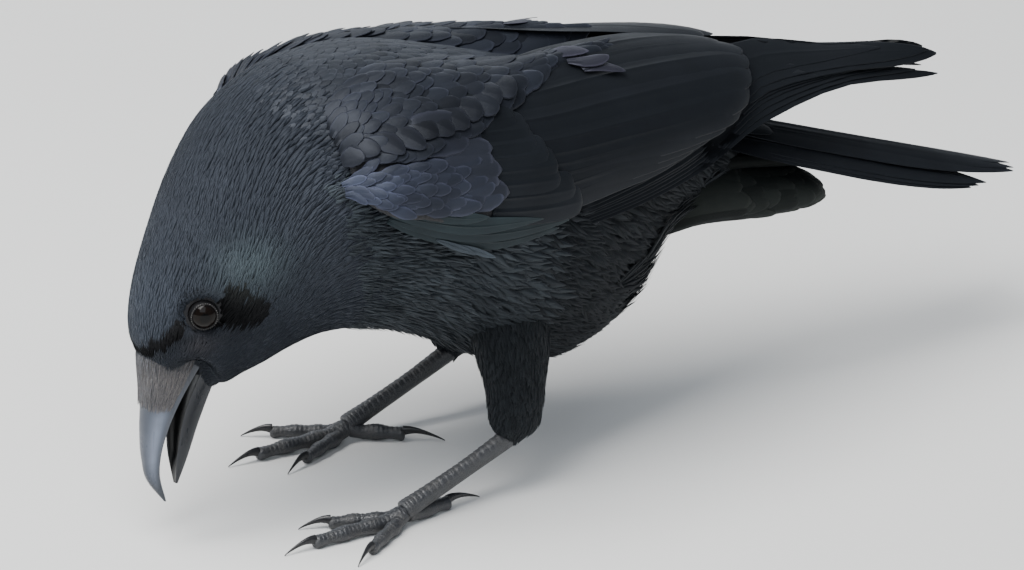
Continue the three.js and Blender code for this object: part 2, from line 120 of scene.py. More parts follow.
# ------------------------------------------------------------------ numbers along a line
def spline(values: Array, t: Array) -> Array:
    """Runs smoothly through evenly spaced values, and goes straight on past both ends.

    Args:
        values: The values, one row for each knot.
        t: Places along the line, 0 at the first knot and 1 at the last.

    Returns:
        The value at each place, with a last axis for a value's own numbers.
    """
    knots = np.asarray(values, float)
    knots = knots.reshape(len(knots), -1)
    last = len(knots) - 1
    t = np.asarray(t, float)
    inside = np.clip(t, 0.0, 1.0)
    place = inside * last
    i = np.clip(np.floor(place).astype(int), 0, last - 1)
    w = (place - i)[..., None]
    p0 = knots[np.maximum(i - 1, 0)]
    p1 = knots[i]
    p2 = knots[i + 1]
    p3 = knots[np.minimum(i + 2, last)]
    m1 = (p2 - p0) / 2
    m2 = (p3 - p1) / 2
    a = 2 * p1 - 2 * p2 + m1 + m2
    b = -3 * p1 + 3 * p2 - 2 * m1 - m2
    value = ((a * w + b) * w + m1) * w + p1
    slope = ((3 * a * w + 2 * b) * w + m1) * last
    return value + slope * (t - inside)[..., None]


def profile(*pairs: tuple[float, float]) -> Callable[[Array], Array]:
    """Makes a smooth function through (place, value) pairs, level past both ends.

    Args:
        *pairs: Places in rising order, each with its value.

    Returns:
        A function of places that gives values.
    """
    at = np.array([p[0] for p in pairs], float)
    value = np.array([p[1] for p in pairs], float)
    slope = np.gradient(value, at) if len(pairs) > 2 else np.full(2, np.ptp(value) / np.ptp(at))

    def run(x: Array) -> Array:
        """Gives the value at each place."""
        x = np.clip(np.asarray(x, float), at[0], at[-1])
        i = np.clip(np.searchsorted(at, x, side="right") - 1, 0, len(at) - 2)
        h = at[i + 1] - at[i]
        w = (x - at[i]) / h
        rise = value[i + 1] - value[i]
        a = h * slope[i] - rise
        b = -h * slope[i + 1] + rise
        return value[i] + rise * w + w * (1 - w) * (a * (1 - w) + b * w)

    if len(pairs) == 2:
        return lambda x: np.interp(np.asarray(x, float), at, value)
    return run


def columns(first: Array | float, second: Array | float) -> Array:
    """Sets two rows of numbers side by side as pairs of parameters."""
    return np.stack(alike(first, second), 1)


def smooth(low: float, high: float, x: Array) -> Array:
    """Rises softly from 0 at low to 1 at high."""
    t = np.clip((np.asarray(x, float) - low) / (high - low), 0, 1)
    return t * t * (3 - 2 * t)


def unit(v: Array) -> Array:
    """Scales each vector to a length of one."""
    return v / np.maximum(np.linalg.norm(v, axis=-1, keepdims=True), 1e-12)


def dot(a: Array, b: Array) -> Array:
    """Dot product along the last axis."""
    return (a * b).sum(-1)


def alike(a: Array, b: Array) -> tuple[Array, ...]:
    """Gives two arrays of numbers the same shape."""
    return np.broadcast_arrays(np.asarray(a, float), np.asarray(b, float))


# ------------------------------------------------------------------ surfaces that carry feathers
class Surface:
    """A smooth patch over two parameters. Feathers lie along the first, the way of "flow"."""

    flow = 1.0
    outward = 1.0  # -1 where the parameters run the other way round
    low = np.array([0.0, 0.0])
    high = np.array([1.0, 1.0])

    def at(self, a: Array, b: Array) -> Array:
        """Gives the patch's points in millimetres, in the bird's frame."""
        raise NotImplementedError

    def tangents(self, a: Array, b: Array) -> tuple[Array, Array, Array]:
        """Finds how the patch runs at some places.

        Args:
            a: First parameter.
            b: Second parameter.

        Returns:
            Change of the point with a, change with b, and the outward normal.
        """
        da, db = (self.high - self.low) * 1e-3
        ta = (self.at(a + da, b) - self.at(a - da, b)) / (2 * da)
        tb = (self.at(a, b + db) - self.at(a, b - db)) / (2 * db)
        return ta, tb, unit(np.cross(ta, tb)) * self.outward

    def move(self, a: Array, b: Array, way: Array) -> tuple[Array, Array]:
        """Finds the parameters that lie a short way off along the patch.

        Args:
            a: First parameter.
            b: Second parameter.
            way: Distance to go, as a vector in millimetres.

        Returns:
            Both parameters there.
        """
        ta, tb, _ = self.tangents(a, b)
        e, f, g = dot(ta, ta), dot(ta, tb), dot(tb, tb)
        p, q = dot(way, ta), dot(way, tb)
        scale = np.maximum(e * g - f * f, 1e-9)
        return a + (g * p - f * q) / scale, b + (e * q - f * p) / scale

    def unwrap(self, a: Array, b: Array) -> Array:
        """Places the patch's own parameters on the unit square."""
        spot = np.stack([a, b], -1)
        return np.clip((spot - self.low) / (self.high - self.low), 0, 1) * 0.96 + 0.02


class TubeSurface(Surface):
    """A patch that closes on itself in the second parameter, its angle round the first."""

    low = np.array([0.0, -pi])
    high = np.array([1.0, pi])


class BodySurface(TubeSurface):
    """The outline of trunk, neck and head, from the rump (0) to the lores (1), and round from the back."""

    flow = -1.0
    back = [(104, 107), (86, 120), (60, 135), (30, 148), (-4, 158), (-37, 169), (-68, 176.5),
            (-98, 175.5), (-124, 165), (-141.5, 147.5), (-154, 125.5), (-163.5, 103), (-166.5, 85),
            (-163.5, 73)]
    belly = [(94, 92), (72, 85), (52, 70), (37, 48), (9, 37), (-24, 45), (-50, 59.5), (-74, 68),
             (-93, 70), (-106, 67), (-116.5, 63), (-125, 60.5), (-130, 58.5), (-135, 57.5)]
    half = [12, 22, 30, 40, 50, 54, 52.5, 48, 40.5, 33, 27, 21.5, 17.5, 11.5]
    gape = 8.5  # how far the face's edge draws back at the corners of the mouth
    socket = 2.6  # how deep the eyes' surroundings lie

    def at(self, a: Array, b: Array) -> Array:
        """Gives points of the body's outline."""
        a, b = alike(a, b)
        back = spline(self.back, a)
        belly = spline(self.belly, a)
        half = spline(self.half, a)[..., 0]
        middle = (back + belly) / 2
        up = (back - belly) / 2
        yz = middle + up * np.cos(b)[..., None]
        cheek = np.exp(-(((np.cos(b) + 0.05) / 0.5) ** 2))
        yz = yz - AHEAD[1:] * (self.gape * cheek * smooth(0.86, 1.0, a))[..., None]
        x = half * (1 - 0.12 * cheek * smooth(0.93, 1.0, a)) * np.sin(b)
        far = np.hypot(yz[..., 0] - LID_CENTRE[0], yz[..., 1] - LID_CENTRE[1])
        x = x - np.sign(x) * self.socket * smooth(10.5, 5.5, far) * smooth(6, 12, np.abs(x))
        return np.stack([x, yz[..., 0], yz[..., 1]], -1)

    def unwrap(self, a: Array, b: Array) -> Array:
        """Places the outline on the unit square, cut along the belly."""
        return super().unwrap(a, (b + pi) % (2 * pi) - pi)


class WingSurface(Surface):
    """The outer face of the folded left wing: y along the bird, and from its lower edge to its upper."""

    low = np.array([-104.0, -0.25])
    high = np.array([100.0, 1.25])
    rows = (
        (-103, 49, 139, 41, 149, 0.8, 3), (-96, 54, 131, 38, 156, 3.5, 8),
        (-80, 57, 124, 34.5, 162.5, 6.5, 10.5), (-52, 57.5, 115, 28, 165.5, 8.5, 12),
        (-18, 56, 111, 22, 162, 10, 11), (20, 51, 113.5, 12, 157.5, 11, 8),
        (55, 44, 118.5, 6, 152.5, 10, 6), (86, 34.5, 125, 3.5, 145, 7, 3.6),
        (99, 25, 131, 6, 141.5, 2.5, 1.6),
    )

    def __init__(self) -> None:
        """Makes the smooth rules between the rows."""
        columns = list(zip(*self.rows))
        rule = [profile(*zip(columns[0], column)) for column in columns[1:]]
        self.low_x, self.low_z, self.top_x, self.top_z, self.bow, self.thick = rule

    def at(self, a: Array, b: Array) -> Array:
        """Gives points of the wing's outer face."""
        a, b = alike(a, b)
        low = np.stack([self.low_x(a), a, self.low_z(a)], -1)
        rise = np.stack([self.top_x(a), a, self.top_z(a)], -1) - low
        outward = unit(np.stack([rise[..., 2], 0 * a, -rise[..., 0]], -1))
        bulge = self.bow(a) * 4 * b * (1 - b) + self.thick(a) / 2
        return low + rise * b[..., None] + outward * bulge[..., None]


class CapeSurface(Surface):
    """The scapulars' bed on the left: from the back, over the wing's upper edge, onto its side."""

    outward = -1.0
    low = np.array([-104.0, 0.0])
    high = np.array([60.0, 1.0])

    def __init__(self, body: BodySurface, wing: WingSurface) -> None:
        """Ties the bed to the body and the wing.

        Args:
            body: The body's outline.
            wing: The wing's outer face.
        """
        self.body = body
        self.wing = wing
        self.station = profile((-104, 0.56), (-85, 0.515), (-52, 0.425), (-18, 0.345), (20, 0.255),
                               (60, 0.155))
        self.start = profile((-104, 0.6), (-80, 0.35), (-40, 0.2), (60, 0.08))
        self.edge = profile((-104, 0.86), (-94, 0.72), (-84, 0.64), (-60, 0.64), (-46, 0.68), (-34, 0.77),
                            (-22, 0.85), (-8, 0.92), (60, 1.0))

    def at(self, a: Array, b: Array) -> Array:
        """Gives points of the bed."""
        a, b = alike(a, b)
        first = self.body.at(self.station(a), self.start(a))
        last = self.wing.at(a, self.edge(a))
        crest = self.wing.at(a, np.full_like(a, 1.04))
        crest = crest + np.stack([0 * a + 0.6, 0 * a, 0 * a + 3.2], -1)
        w = b[..., None]
        return first * (1 - w) ** 2 + crest * 2 * w * (1 - w) + last * w * w


class LimbSurface(TubeSurface):
    """An oval tube along a path, its sections square to the path."""

    def __init__(self, path: Array, wide: Array, deep: Array) -> None:
        """Takes the tube's path and its half sizes.

        Args:
            path: Points along the middle.
            wide: Half widths across the leg's plane.
            deep: Half widths in that plane.
        """
        self.path = np.asarray(path, float)
        self.wide = wide
        self.deep = deep

    def at(self, a: Array, b: Array) -> Array:
        """Gives points of the tube."""
        a, b = alike(a, b)
        step = 1e-3
        ahead = unit(spline(self.path, a + step) - spline(self.path, a - step))
        across = np.array([1.0, 0.0, 0.0]) - ahead * ahead[..., :1]
        across = unit(across)
        up = unit(np.cross(ahead, across))
        wide = spline(self.wide, a) * np.sin(b)[..., None]
        deep = spline(self.deep, a) * np.cos(b)[..., None]
        return spline(self.path, a) + across * wide + up * deep


class LevelSurface(TubeSurface):
    """An oval tube along a line in the bird's middle plane, its sections upright."""

    outward = -1.0

    def __init__(self, line: Array, wide: Array, deep: Array) -> None:
        """Takes the tube's line as (y, z) points, and its half width and half height."""
        self.line = line
        self.wide = wide
        self.deep = deep

    def at(self, a: Array, b: Array) -> Array:
        """Gives points of the tube."""
        a, b = alike(a, b)
        line = spline(self.line, a)
        wide = spline(self.wide, a)[..., 0]
        deep = spline(self.deep, a)[..., 0]
        return np.stack([wide * np.sin(b), line[..., 0], line[..., 1] + deep * np.cos(b)], -1)


class RuledSurface(Surface):
    """A sheet between two lines: along them, and from the first line to the second."""

    low = np.array([0.0, -0.3])
    high = np.array([1.0, 1.3])

    def __init__(self, first: Array, second: Array) -> None:
        """Takes the two lines' points."""
        self.first = np.asarray(first, float)
        self.second = np.asarray(second, float)

    def at(self, a: Array, b: Array) -> Array:
        """Gives points of the sheet."""
        a, b = alike(a, b)
        one = spline(self.first, a)
        two = spline(self.second, a)
        return one + (two - one) * b[..., None]


class TailSurface(Surface):
    """The roof of the folded tail: from root to tip, and out from the middle in feather pairs."""

    outward = -1.0
    low = np.array([0.0, -4.5])
    high = np.array([1.0, 4.5])
    root = (52.0, 129.5)
    tip = (235.0, 60.8)
    drop = (1.8, 2.3)
    middle = 3.0
    spread = (4.8, 4.4)
    shorter = 5.6

    def at(self, a: Array, b: Array) -> Array:
        """Gives points of the roof."""
        a, b = alike(a, b)
        pair = np.sqrt(b * b + 0.15) - 0.387
        out = np.tanh(b * 3) * self.middle
        slope = (self.tip[1] - self.root[1]) / (self.tip[0] - self.root[0])
        short = self.shorter * pair**1.5
        root = np.stack([out + b * self.spread[0], 0 * a + self.root[0],
                         self.root[1] - self.drop[0] * pair], -1)
        tip = np.stack([out + b * self.spread[1], self.tip[0] - short,
                        self.tip[1] - self.drop[1] * pair - short * slope], -1)
        sag = np.stack([0 * a, 0 * a, -0.8 * np.sin(pi * a)], -1)
        return root + (tip - root) * a[..., None] + sag


# The bill's own frame: "ahead" runs from the gape to the tip, and "crown" towards the forehead.
GAPE = np.array([0.0, -141.0, 70.5])
BILL_TILT = radians(15)
AHEAD = np.array([0.0, -sin(BILL_TILT), -cos(BILL_TILT)])
CROWN = np.array([0.0, -cos(BILL_TILT), sin(BILL_TILT)])


def head_point(x: Array, ahead: Array, crown: Array) -> Array:
    """Turns places of the bill's frame into points of the bird's frame."""
    x, ahead, crown = np.broadcast_arrays(x, ahead, crown)
    sideways = np.stack([x, 0 * x, 0 * x], -1)
    return GAPE + AHEAD * ahead[..., None] + CROWN * crown[..., None] + sideways


class BristleSurface(Surface):
    """The pad over the nostrils, along the bill's root and round from its ridge."""

    low = np.array([-8.0, -pi])
    high = np.array([18.0, pi])
    top = staticmethod(profile((-8, 23.5), (0, 24), (8, 21.5), (17, 18.8), (24, 17.2)))
    bottom = staticmethod(profile((-8, 4), (0, 6), (8, 7.6), (17, 9.6), (24, 11.4)))
    half = staticmethod(profile((-8, 11.5), (0, 11.3), (8, 10.2), (17, 8.6), (24, 7.4)))

    def at(self, a: Array, b: Array) -> Array:
        """Gives points of the pad: full near its lower edge, and thin over the ridge."""
        a, b = alike(a, b)
        top, bottom = self.top(a), self.bottom(a)
        crown = (top + bottom) / 2 + (top - bottom) / 2 * np.cos(b)
        full = np.sqrt(np.clip(1 - ((1 + np.cos(b)) / 2.15) ** 2, 0, 1)) * smooth(0, 0.55, np.abs(np.sin(b)))
        return head_point(self.half(a) * np.sign(np.sin(b)) * full, a, crown)


# ------------------------------------------------------------------ tones, painted light and painted shade shared by skin and coat
@dataclass(frozen=True)
class Marking:
    """A soft patch of another tone, the same on both sides of the bird; some are markings, others painted
    shadows, highlights and sheen.

    Attributes:
        centre: Its middle in millimetres, on the left side.
        reach: How far it reaches each way.
        tone: What it multiplies the colours under it by.
    """

    centre: tuple[float, float, float]
    reach: tuple[float, float, float]
    tone: Colour


# Painted shadows on the face: dark patches where the brow's and cheek's feathers would shade it.
PAINTED_SHADOWS = (
    Marking((26, -138, 88.5), (12, 11, 8), (0.3, 0.3, 0.3)),  # painted shadow in the hollow behind the eye
    Marking((24, -140.5, 96), (6, 5.5, 5), (0.3, 0.3, 0.3)),
    Marking((5, -165.5, 75), (6, 4, 3.2), (0.3, 0.3, 0.3)),  # painted shadow under the fold over the nostrils, up to the eye
    Marking((10.5, -163.5, 79), (5, 4, 3), (0.3, 0.3, 0.3)),
    Marking((14.5, -160.5, 82.5), (4, 4, 3), (0.3, 0.3, 0.3)),
    Marking((16.5, -156.5, 86), (4, 4, 3), (0.3, 0.3, 0.3)),
)
# The coat's markings, with painted light and shade among them.
TONES_AND_PAINTED_LIGHT = PAINTED_SHADOWS + (
    Marking((18, -150, 83), (9, 7, 6), (1.25, 1.0, 0.85)),  # brownish lores
    Marking((29, -134, 113), (13, 13, 11), (2.6, 2.9, 2.5)),  # painted grey-green sheen on the cheek
    Marking((0, -166, 98), (22, 14, 26), (1.7, 1.75, 1.75)),  # painted blue-grey sheen on forehead and crown
    Marking((0, 30, 70), (70, 60, 40), (0.36, 0.35, 0.31)),  # dull belly and vent
    Marking((0, -40, 65), (60, 22, 40), (0.55, 0.55, 0.55)),  # breast, darkening towards the belly
    Marking((0, -155, 74), (14, 12, 8), (0.5, 0.48, 0.46)),  # darker roots of the bristles
    Marking((48, -60, 157), (12, 22, 9), (0.5, 0.5, 0.5)),  # painted shadow under the scapulars' hem
    Marking((52, -100, 143), (16, 14, 14), (1.45, 1.5, 1.6)),  # painted highlight, pale and bluish, on the wrist
    Marking((0, 128, 62), (22, 26, 9), (1.9, 2.1, 0.9)),  # painted olive reflection at the feather ends under the tail
)


def in_shade(points: Array) -> Array:
    """Says which places on the face lie in one of its painted shadows, with a ragged border."""
    mirrored = np.concatenate([np.abs(points[..., :1]), points[..., 1:]], -1)
    share = [np.exp(-(((mirrored - mark.centre) / mark.reach) ** 2).sum(-1)) for mark in PAINTED_SHADOWS]
    ragged = 0.12 * np.sin(1.9 * points[..., 1] + 0.7) * np.sin(2.3 * points[..., 2])
    return np.max(share, axis=0) > 0.42 + ragged


def tones_at(points: Array) -> Array:
    """Works out the coat's tone at some places, painted light and shade included.

    Args:
        points: Places in millimetres, in the bird's frame.

    Returns:
        A red, green and blue factor for each.
    """
    tone = np.ones(points.shape[:-1] + (3,))
    mirrored = np.concatenate([np.abs(points[..., :1]), points[..., 1:]], -1)
    for mark in TONES_AND_PAINTED_LIGHT:
        far = ((mirrored - mark.centre) / mark.reach) ** 2
        share = np.exp(-far.sum(-1))[..., None]
        tone = tone * (1 + (np.array(mark.tone) - 1) * share)
    return tone


# ------------------------------------------------------------------ meshes made from arrays
class MeshStore:
    """Gathers closed strips of rings, and turns them into one mesh object."""

    def __init__(self) -> None:
        """Starts empty."""
        self.points: list[Array] = []
        self.quads: list[Array] = []
        self.tris: list[Array] = []
        self.bake: list[Array] = []
        self.vane: list[Array] = []
        self.tone: list[Array] = []
        self.margin: list[Array] = []
        self.count = 0

    def add_rings(
        self, points: Array, bake: Array, vane: Array, tone: Array, margin: Array, flip: bool
    ) -> None:
        """Adds closed tubes, each a row of rings with a cap at both ends.

        Args:
            points: Vertices in millimetres, shaped (tubes, rings, sides, 3).
            bake: Places on the coat's unwrap, shaped (tubes, rings, sides, 2).
            vane: Distances across and along each vane in millimetres, shaped the same.
            tone: Colour factors, shaped (tubes, rings, sides, 3).
            margin: 0 at a vane's shaft and 1 at its edge, shaped (tubes, rings, sides).
            flip: True where the rings run the other way round, as on mirrored pieces.
        """
        tubes, rings, sides = points.shape[:3]
        first = self.count + np.arange(tubes)[:, None, None] * rings * sides
        ring = np.arange(rings - 1)[None, :, None] * sides
        j = np.arange(sides)[None, None, :]
        k = (j + 1) % sides
        near, far = first + ring, first + ring + sides
        quads = np.stack([near + j, far + j, far + k, near + k], -1).reshape(-1, 4)
        fan = np.arange(1, sides - 1)[None, :]
        start = first[:, 0, :]
        end = start + (rings - 1) * sides
        root = np.stack([start + 0 * fan, start + fan, start + fan + 1], -1).reshape(-1, 3)
        tip = np.stack([end + 0 * fan, end + fan + 1, end + fan], -1).reshape(-1, 3)
        tris = np.concatenate([root, tip])
        if flip:
            quads, tris = quads[:, ::-1], tris[:, ::-1]
        self.quads.append(quads)
        self.tris.append(tris)
        self.points.append(points.reshape(-1, 3))
        self.bake.append(bake.reshape(-1, 2))
        self.vane.append(vane.reshape(-1, 2))
        self.tone.append(tone.reshape(-1, 3))
        self.margin.append(margin.reshape(-1))
        self.count += tubes * rings * sides

    def add_plain(self, points: Array, margin: Array, flip: bool, tone: Array | float = 1.0) -> None:
        """Adds one closed tube without places on the unwrap.

        Args:
            points: Vertices in millimetres, shaped (rings, sides, 3).
            margin: The attribute "Margin", shaped (rings, sides).
            flip: True where the rings run the other way round.
            tone: Colour factors.
        """
        flat = np.zeros((1, *points.shape[:2], 2))
        self.add_rings(points[None], flat, flat, np.ones((1, *points.shape)) * tone, margin[None], flip)

    def object(self, name: str, material: Material, sharp: float = 0.0, coat: bool = True) -> Thing:
        """Makes the mesh object, in the part's frame.

        Args:
            name: The piece's name.
            material: Its finish.
            sharp: Angle in degrees past which an edge is shaded sharp, or 0 for none.
            coat: True where the piece is feathers and needs their UV maps.

        Returns:
            The new object.
        """
        points = in_frame(np.concatenate(self.points))
        quads = np.concatenate(self.quads).astype(np.int32)
        tris = np.concatenate(self.tris).astype(np.int32)
        corners = np.concatenate([quads.ravel(), tris.ravel()])
        starts = np.concatenate([np.arange(len(quads)) * 4, len(quads) * 4 + np.arange(len(tris)) * 3])
        mesh = bpy.data.meshes.new(name)
        mesh.vertices.add(len(points))
        mesh.vertices.foreach_set("co", points.astype(np.float32).ravel())
        mesh.loops.add(len(corners))
        mesh.loops.foreach_set("vertex_index", corners)
        mesh.polygons.add(len(starts))
        mesh.polygons.foreach_set("loop_start", starts.astype(np.int32))
        for label, rows in (("OFBake", self.bake), ("Vane", self.vane)) if coat else ():
            layer = mesh.uv_layers.new(name=label)
            layer.uv.foreach_set("vector", np.concatenate(rows)[corners].astype(np.float32).ravel())
        mesh.update(calc_edges=True)
        add_tone(mesh, np.concatenate(self.tone))
        add_numbers(mesh, "Margin", np.concatenate(self.margin))
        mesh.shade_smooth()
        if sharp:
            mesh.set_sharp_from_angle(angle=radians(sharp))
        return new_object(name, mesh, material)


def add_numbers(mesh: bpy.types.Mesh, name: str, values: Array) -> None:
    """Stores one number for each of a mesh's vertices as an attribute."""
    layer = mesh.attributes.new(name, "FLOAT", "POINT")
    layer.data.foreach_set("value", values.astype(np.float32))


def add_tone(mesh: bpy.types.Mesh, tone: Array) -> None:
    """Stores the colour factors of a mesh's vertices as its attribute "Tone"."""
    colours = np.concatenate([tone, np.ones((len(tone), 1))], 1).astype(np.float32)
    layer = mesh.attributes.new("Tone", "FLOAT_COLOR", "POINT")
    layer.data.foreach_set("color", colours.ravel())


def new_object(name: str, mesh: bpy.types.Mesh, material: Material) -> Thing:
    """Links a new object with one material."""
    made = bpy.data.objects.new(name, mesh)
    mesh.materials.clear()
    mesh.materials.append(material)
    bpy.context.scene.collection.objects.link(made)
    return made


@dataclass(frozen=True)
class VaneShape:
    """The outline and section of one kind of feather.

    Attributes:
        at: Places of its rings along it, 0 at the root and 1 at the tip.
        outline: Half width at each ring, as a share of the widest.
        across: Places of the upper face's points, -1 and 1 at the edges.
        camber: How far the middle stands over the edges, as a share of the half width.
        thick: Thickness under the middle, in millimetres; 0 closes the vane edge to edge.
        shaft: How far the shaft stands out of the vane, in millimetres.
        ragged: How uneven the edges are, as a share of the width.
    """

    at: tuple[float, ...]
    outline: tuple[float, ...]
    across: tuple[float, ...]
    camber: float
    thick: float = 0.0
    shaft: float = 0.0
    ragged: float = 0.0

    def loft(
        self,
        store: MeshStore,
        surface: Surface,
        routes: tuple[Array, Array],
        half: tuple[Array, Array],
        heights: Array,
        tone: Array,
        rng: np.random.Generator,
        side: Side = Side.LEFT,
    ) -> None:
        """Lays vanes of this shape along routes on a surface.

        Args:
            store: Takes the vanes.
            surface: What the vanes lie on.
            routes: First and second parameter of each ring's middle, shaped (vanes, rings).
            half: Half width before and past the shaft (negative and positive across), shaped (vanes,).
            heights: Height of each ring's middle over the surface, shaped (vanes, rings).
            tone: Each vane's colour factors, shaped (vanes, 3).
            rng: Source of the uneven edges.
            side: Right mirrors the vanes.
        """
        a, b = routes
        middle = surface.at(a, b)
        ahead = np.gradient(middle, axis=1)
        _, _, normal = surface.tangents(a, b)
        across = unit(np.cross(normal, unit(ahead)))
        uneven = 1 + self.ragged * rng.uniform(-1, 1, a.shape)
        wide = np.array(self.outline)[None, :] * uneven
        along = np.concatenate([np.zeros((len(a), 1)), np.linalg.norm(np.diff(middle, axis=1), axis=-1)], 1)
        along = np.cumsum(along, 1)
        rows, vanes, margins = [], [], []
        for u in self.across:
            share = half[0] if u < 0 else half[1]
            reach = (wide * share[:, None]) * u
            qa, qb = surface.move(a, b, across * reach[..., None])
            rise = self.camber * wide * (np.abs(half[0] + half[1]) / 2)[:, None] * (1 - u * u)
            if u == 0:
                rise = rise + self.shaft * np.clip(1.6 * (1 - np.array(self.at)), 0, 1)
            rows.append(surface.at(qa, qb) + normal * (heights + rise)[..., None])
            vanes.append(np.stack([reach, along], -1))
            margins.append(np.maximum(abs(u), smooth(0.8, 1.0, np.array(self.at)))[None, :] + 0 * a)
        if self.thick:
            depth = np.minimum(self.thick, 0.2 + self.thick * wide)
            rise = self.camber * wide * (np.abs(half[0] + half[1]) / 2)[:, None]
            rows.append(middle + normal * (heights + rise - depth)[..., None])
            vanes.append(np.stack([0 * along, along], -1))
            margins.append(np.zeros_like(a))
        points = np.stack(rows, 2)
        vane = np.stack(vanes, 2)
        root = surface.unwrap(a[:, :1], b[:, :1])[:, :, None, :]
        size = np.maximum(along[:, -1], 1e-3)[:, None, None]
        patch = np.stack([vane[..., 0] / size + 0.5, vane[..., 1] / size], -1)
        bake = root + 0.003 * (patch - 0.5)
        colours = tones_at(points) * tone[:, None, None, :]
        if side is Side.RIGHT:
            points = points * np.array([-1.0, 1.0, 1.0])
        store.add_rings(points, bake, vane, colours, np.stack(margins, 2), side is Side.RIGHT)


BLADE = VaneShape(at=(0, 0.3, 0.7, 1), outline=(0.7, 1, 0.72, 0.08), across=(-1, 0, 1), camber=0.1)
SCALE = VaneShape(
    at=(0, 0.3, 0.52, 0.68, 0.8, 0.89, 0.95, 1), outline=(0.45, 0.9, 1, 0.93, 0.77, 0.56, 0.36, 0.06),
    across=(-1, -0.85, -0.45, 0, 0.45, 0.85, 1), camber=0.1, thick=0.25, shaft=0.1, ragged=0.08,
)
QUILL_AT = tuple(np.round(np.concatenate([np.linspace(0, 0.86, 15), [0.9, 0.935, 0.965, 0.985, 1]]), 3))
QUILL_ACROSS = (-1, -0.93, -0.6, -0.25, -0.05, 0, 0.05, 0.25, 0.6, 0.93, 1)


def quill_shape(ragged: float, *outline: tuple[float, float]) -> VaneShape:
    """Makes the shape of a long stiff feather.

    Args:
        ragged: How uneven its edges are.
        *outline: Places along it, each with its half width there.

    Returns:
        The shape.
    """
    wide = tuple(np.round(profile(*outline)(np.array(QUILL_AT)), 3))
    return VaneShape(QUILL_AT, wide, QUILL_ACROSS, camber=0.08, thick=0.3, shaft=0.3, ragged=ragged)


QUILL = quill_shape(
    0.01, (0, 0.75), (0.25, 0.95), (0.6, 1), (0.86, 0.97), (0.94, 0.84), (0.98, 0.56), (1, 0.14)
)
POINTED = quill_shape(
    0.012, (0, 0.45), (0.2, 0.85), (0.5, 1), (0.72, 0.96), (0.86, 0.7), (0.95, 0.32), (1, 0.04)
)
LEAF = quill_shape(
    0.015, (0, 0.3), (0.2, 0.75), (0.45, 1), (0.65, 0.95), (0.82, 0.7), (0.94, 0.35), (1, 0.05)
)


def route_from(
    surface: Surface, roots: tuple[Array, Array], turn: Array, length: Array, shape: VaneShape,
    curl: Array | float = 0.0,
) -> tuple[Array, Array]:
    """Walks from each root along the surface.

    Args:
        surface: What is walked on.
        roots: Both parameters of each root.
        turn: Angle off the surface's own flow, in radians.
        length: How far to go, in millimetres.
        shape: Says where the rings lie on the way.
        curl: How much the way has turned by its end, in radians.

    Returns:
        Both parameters of each ring's middle, shaped (vanes, rings).
    """
    a, b = roots
    way_a, way_b = [a], [b]
    steps = np.diff(shape.at)
    for k, step in enumerate(steps):
        ta, _, normal = surface.tangents(a, b)
        along = unit(ta) * surface.flow
        sideways = np.cross(normal, along)
        angle = turn + curl * shape.at[k]
        way = along * np.cos(angle)[:, None] + sideways * np.sin(angle)[:, None]
        a, b = surface.move(a, b, way * (length * step)[:, None])
        way_a.append(a)
        way_b.append(b)
    return np.stack(way_a, 1), np.stack(way_b, 1)


# ------------------------------------------------------------------ coats laid in rows
Rule = Callable[..., Array]
Keep = Callable[[Array], Array]


def level(value: float) -> Rule:
    """Makes a rule that gives the same value everywhere."""
    return lambda a, b=0.0: 0 * a + value


def ramp(places: tuple[float, ...], values: tuple[float, ...]) -> Rule:
    """Makes a rule that runs straight between values at places of the first parameter."""
    return lambda a, b=0.0: np.interp(a, places, values)


def share_of(rule: Rule, share: float, most: float = np.inf) -> Rule:
    """Makes a rule that gives a share of another's values, once those are held under a limit."""
    return lambda a, b: share * np.minimum(rule(a, b), most)


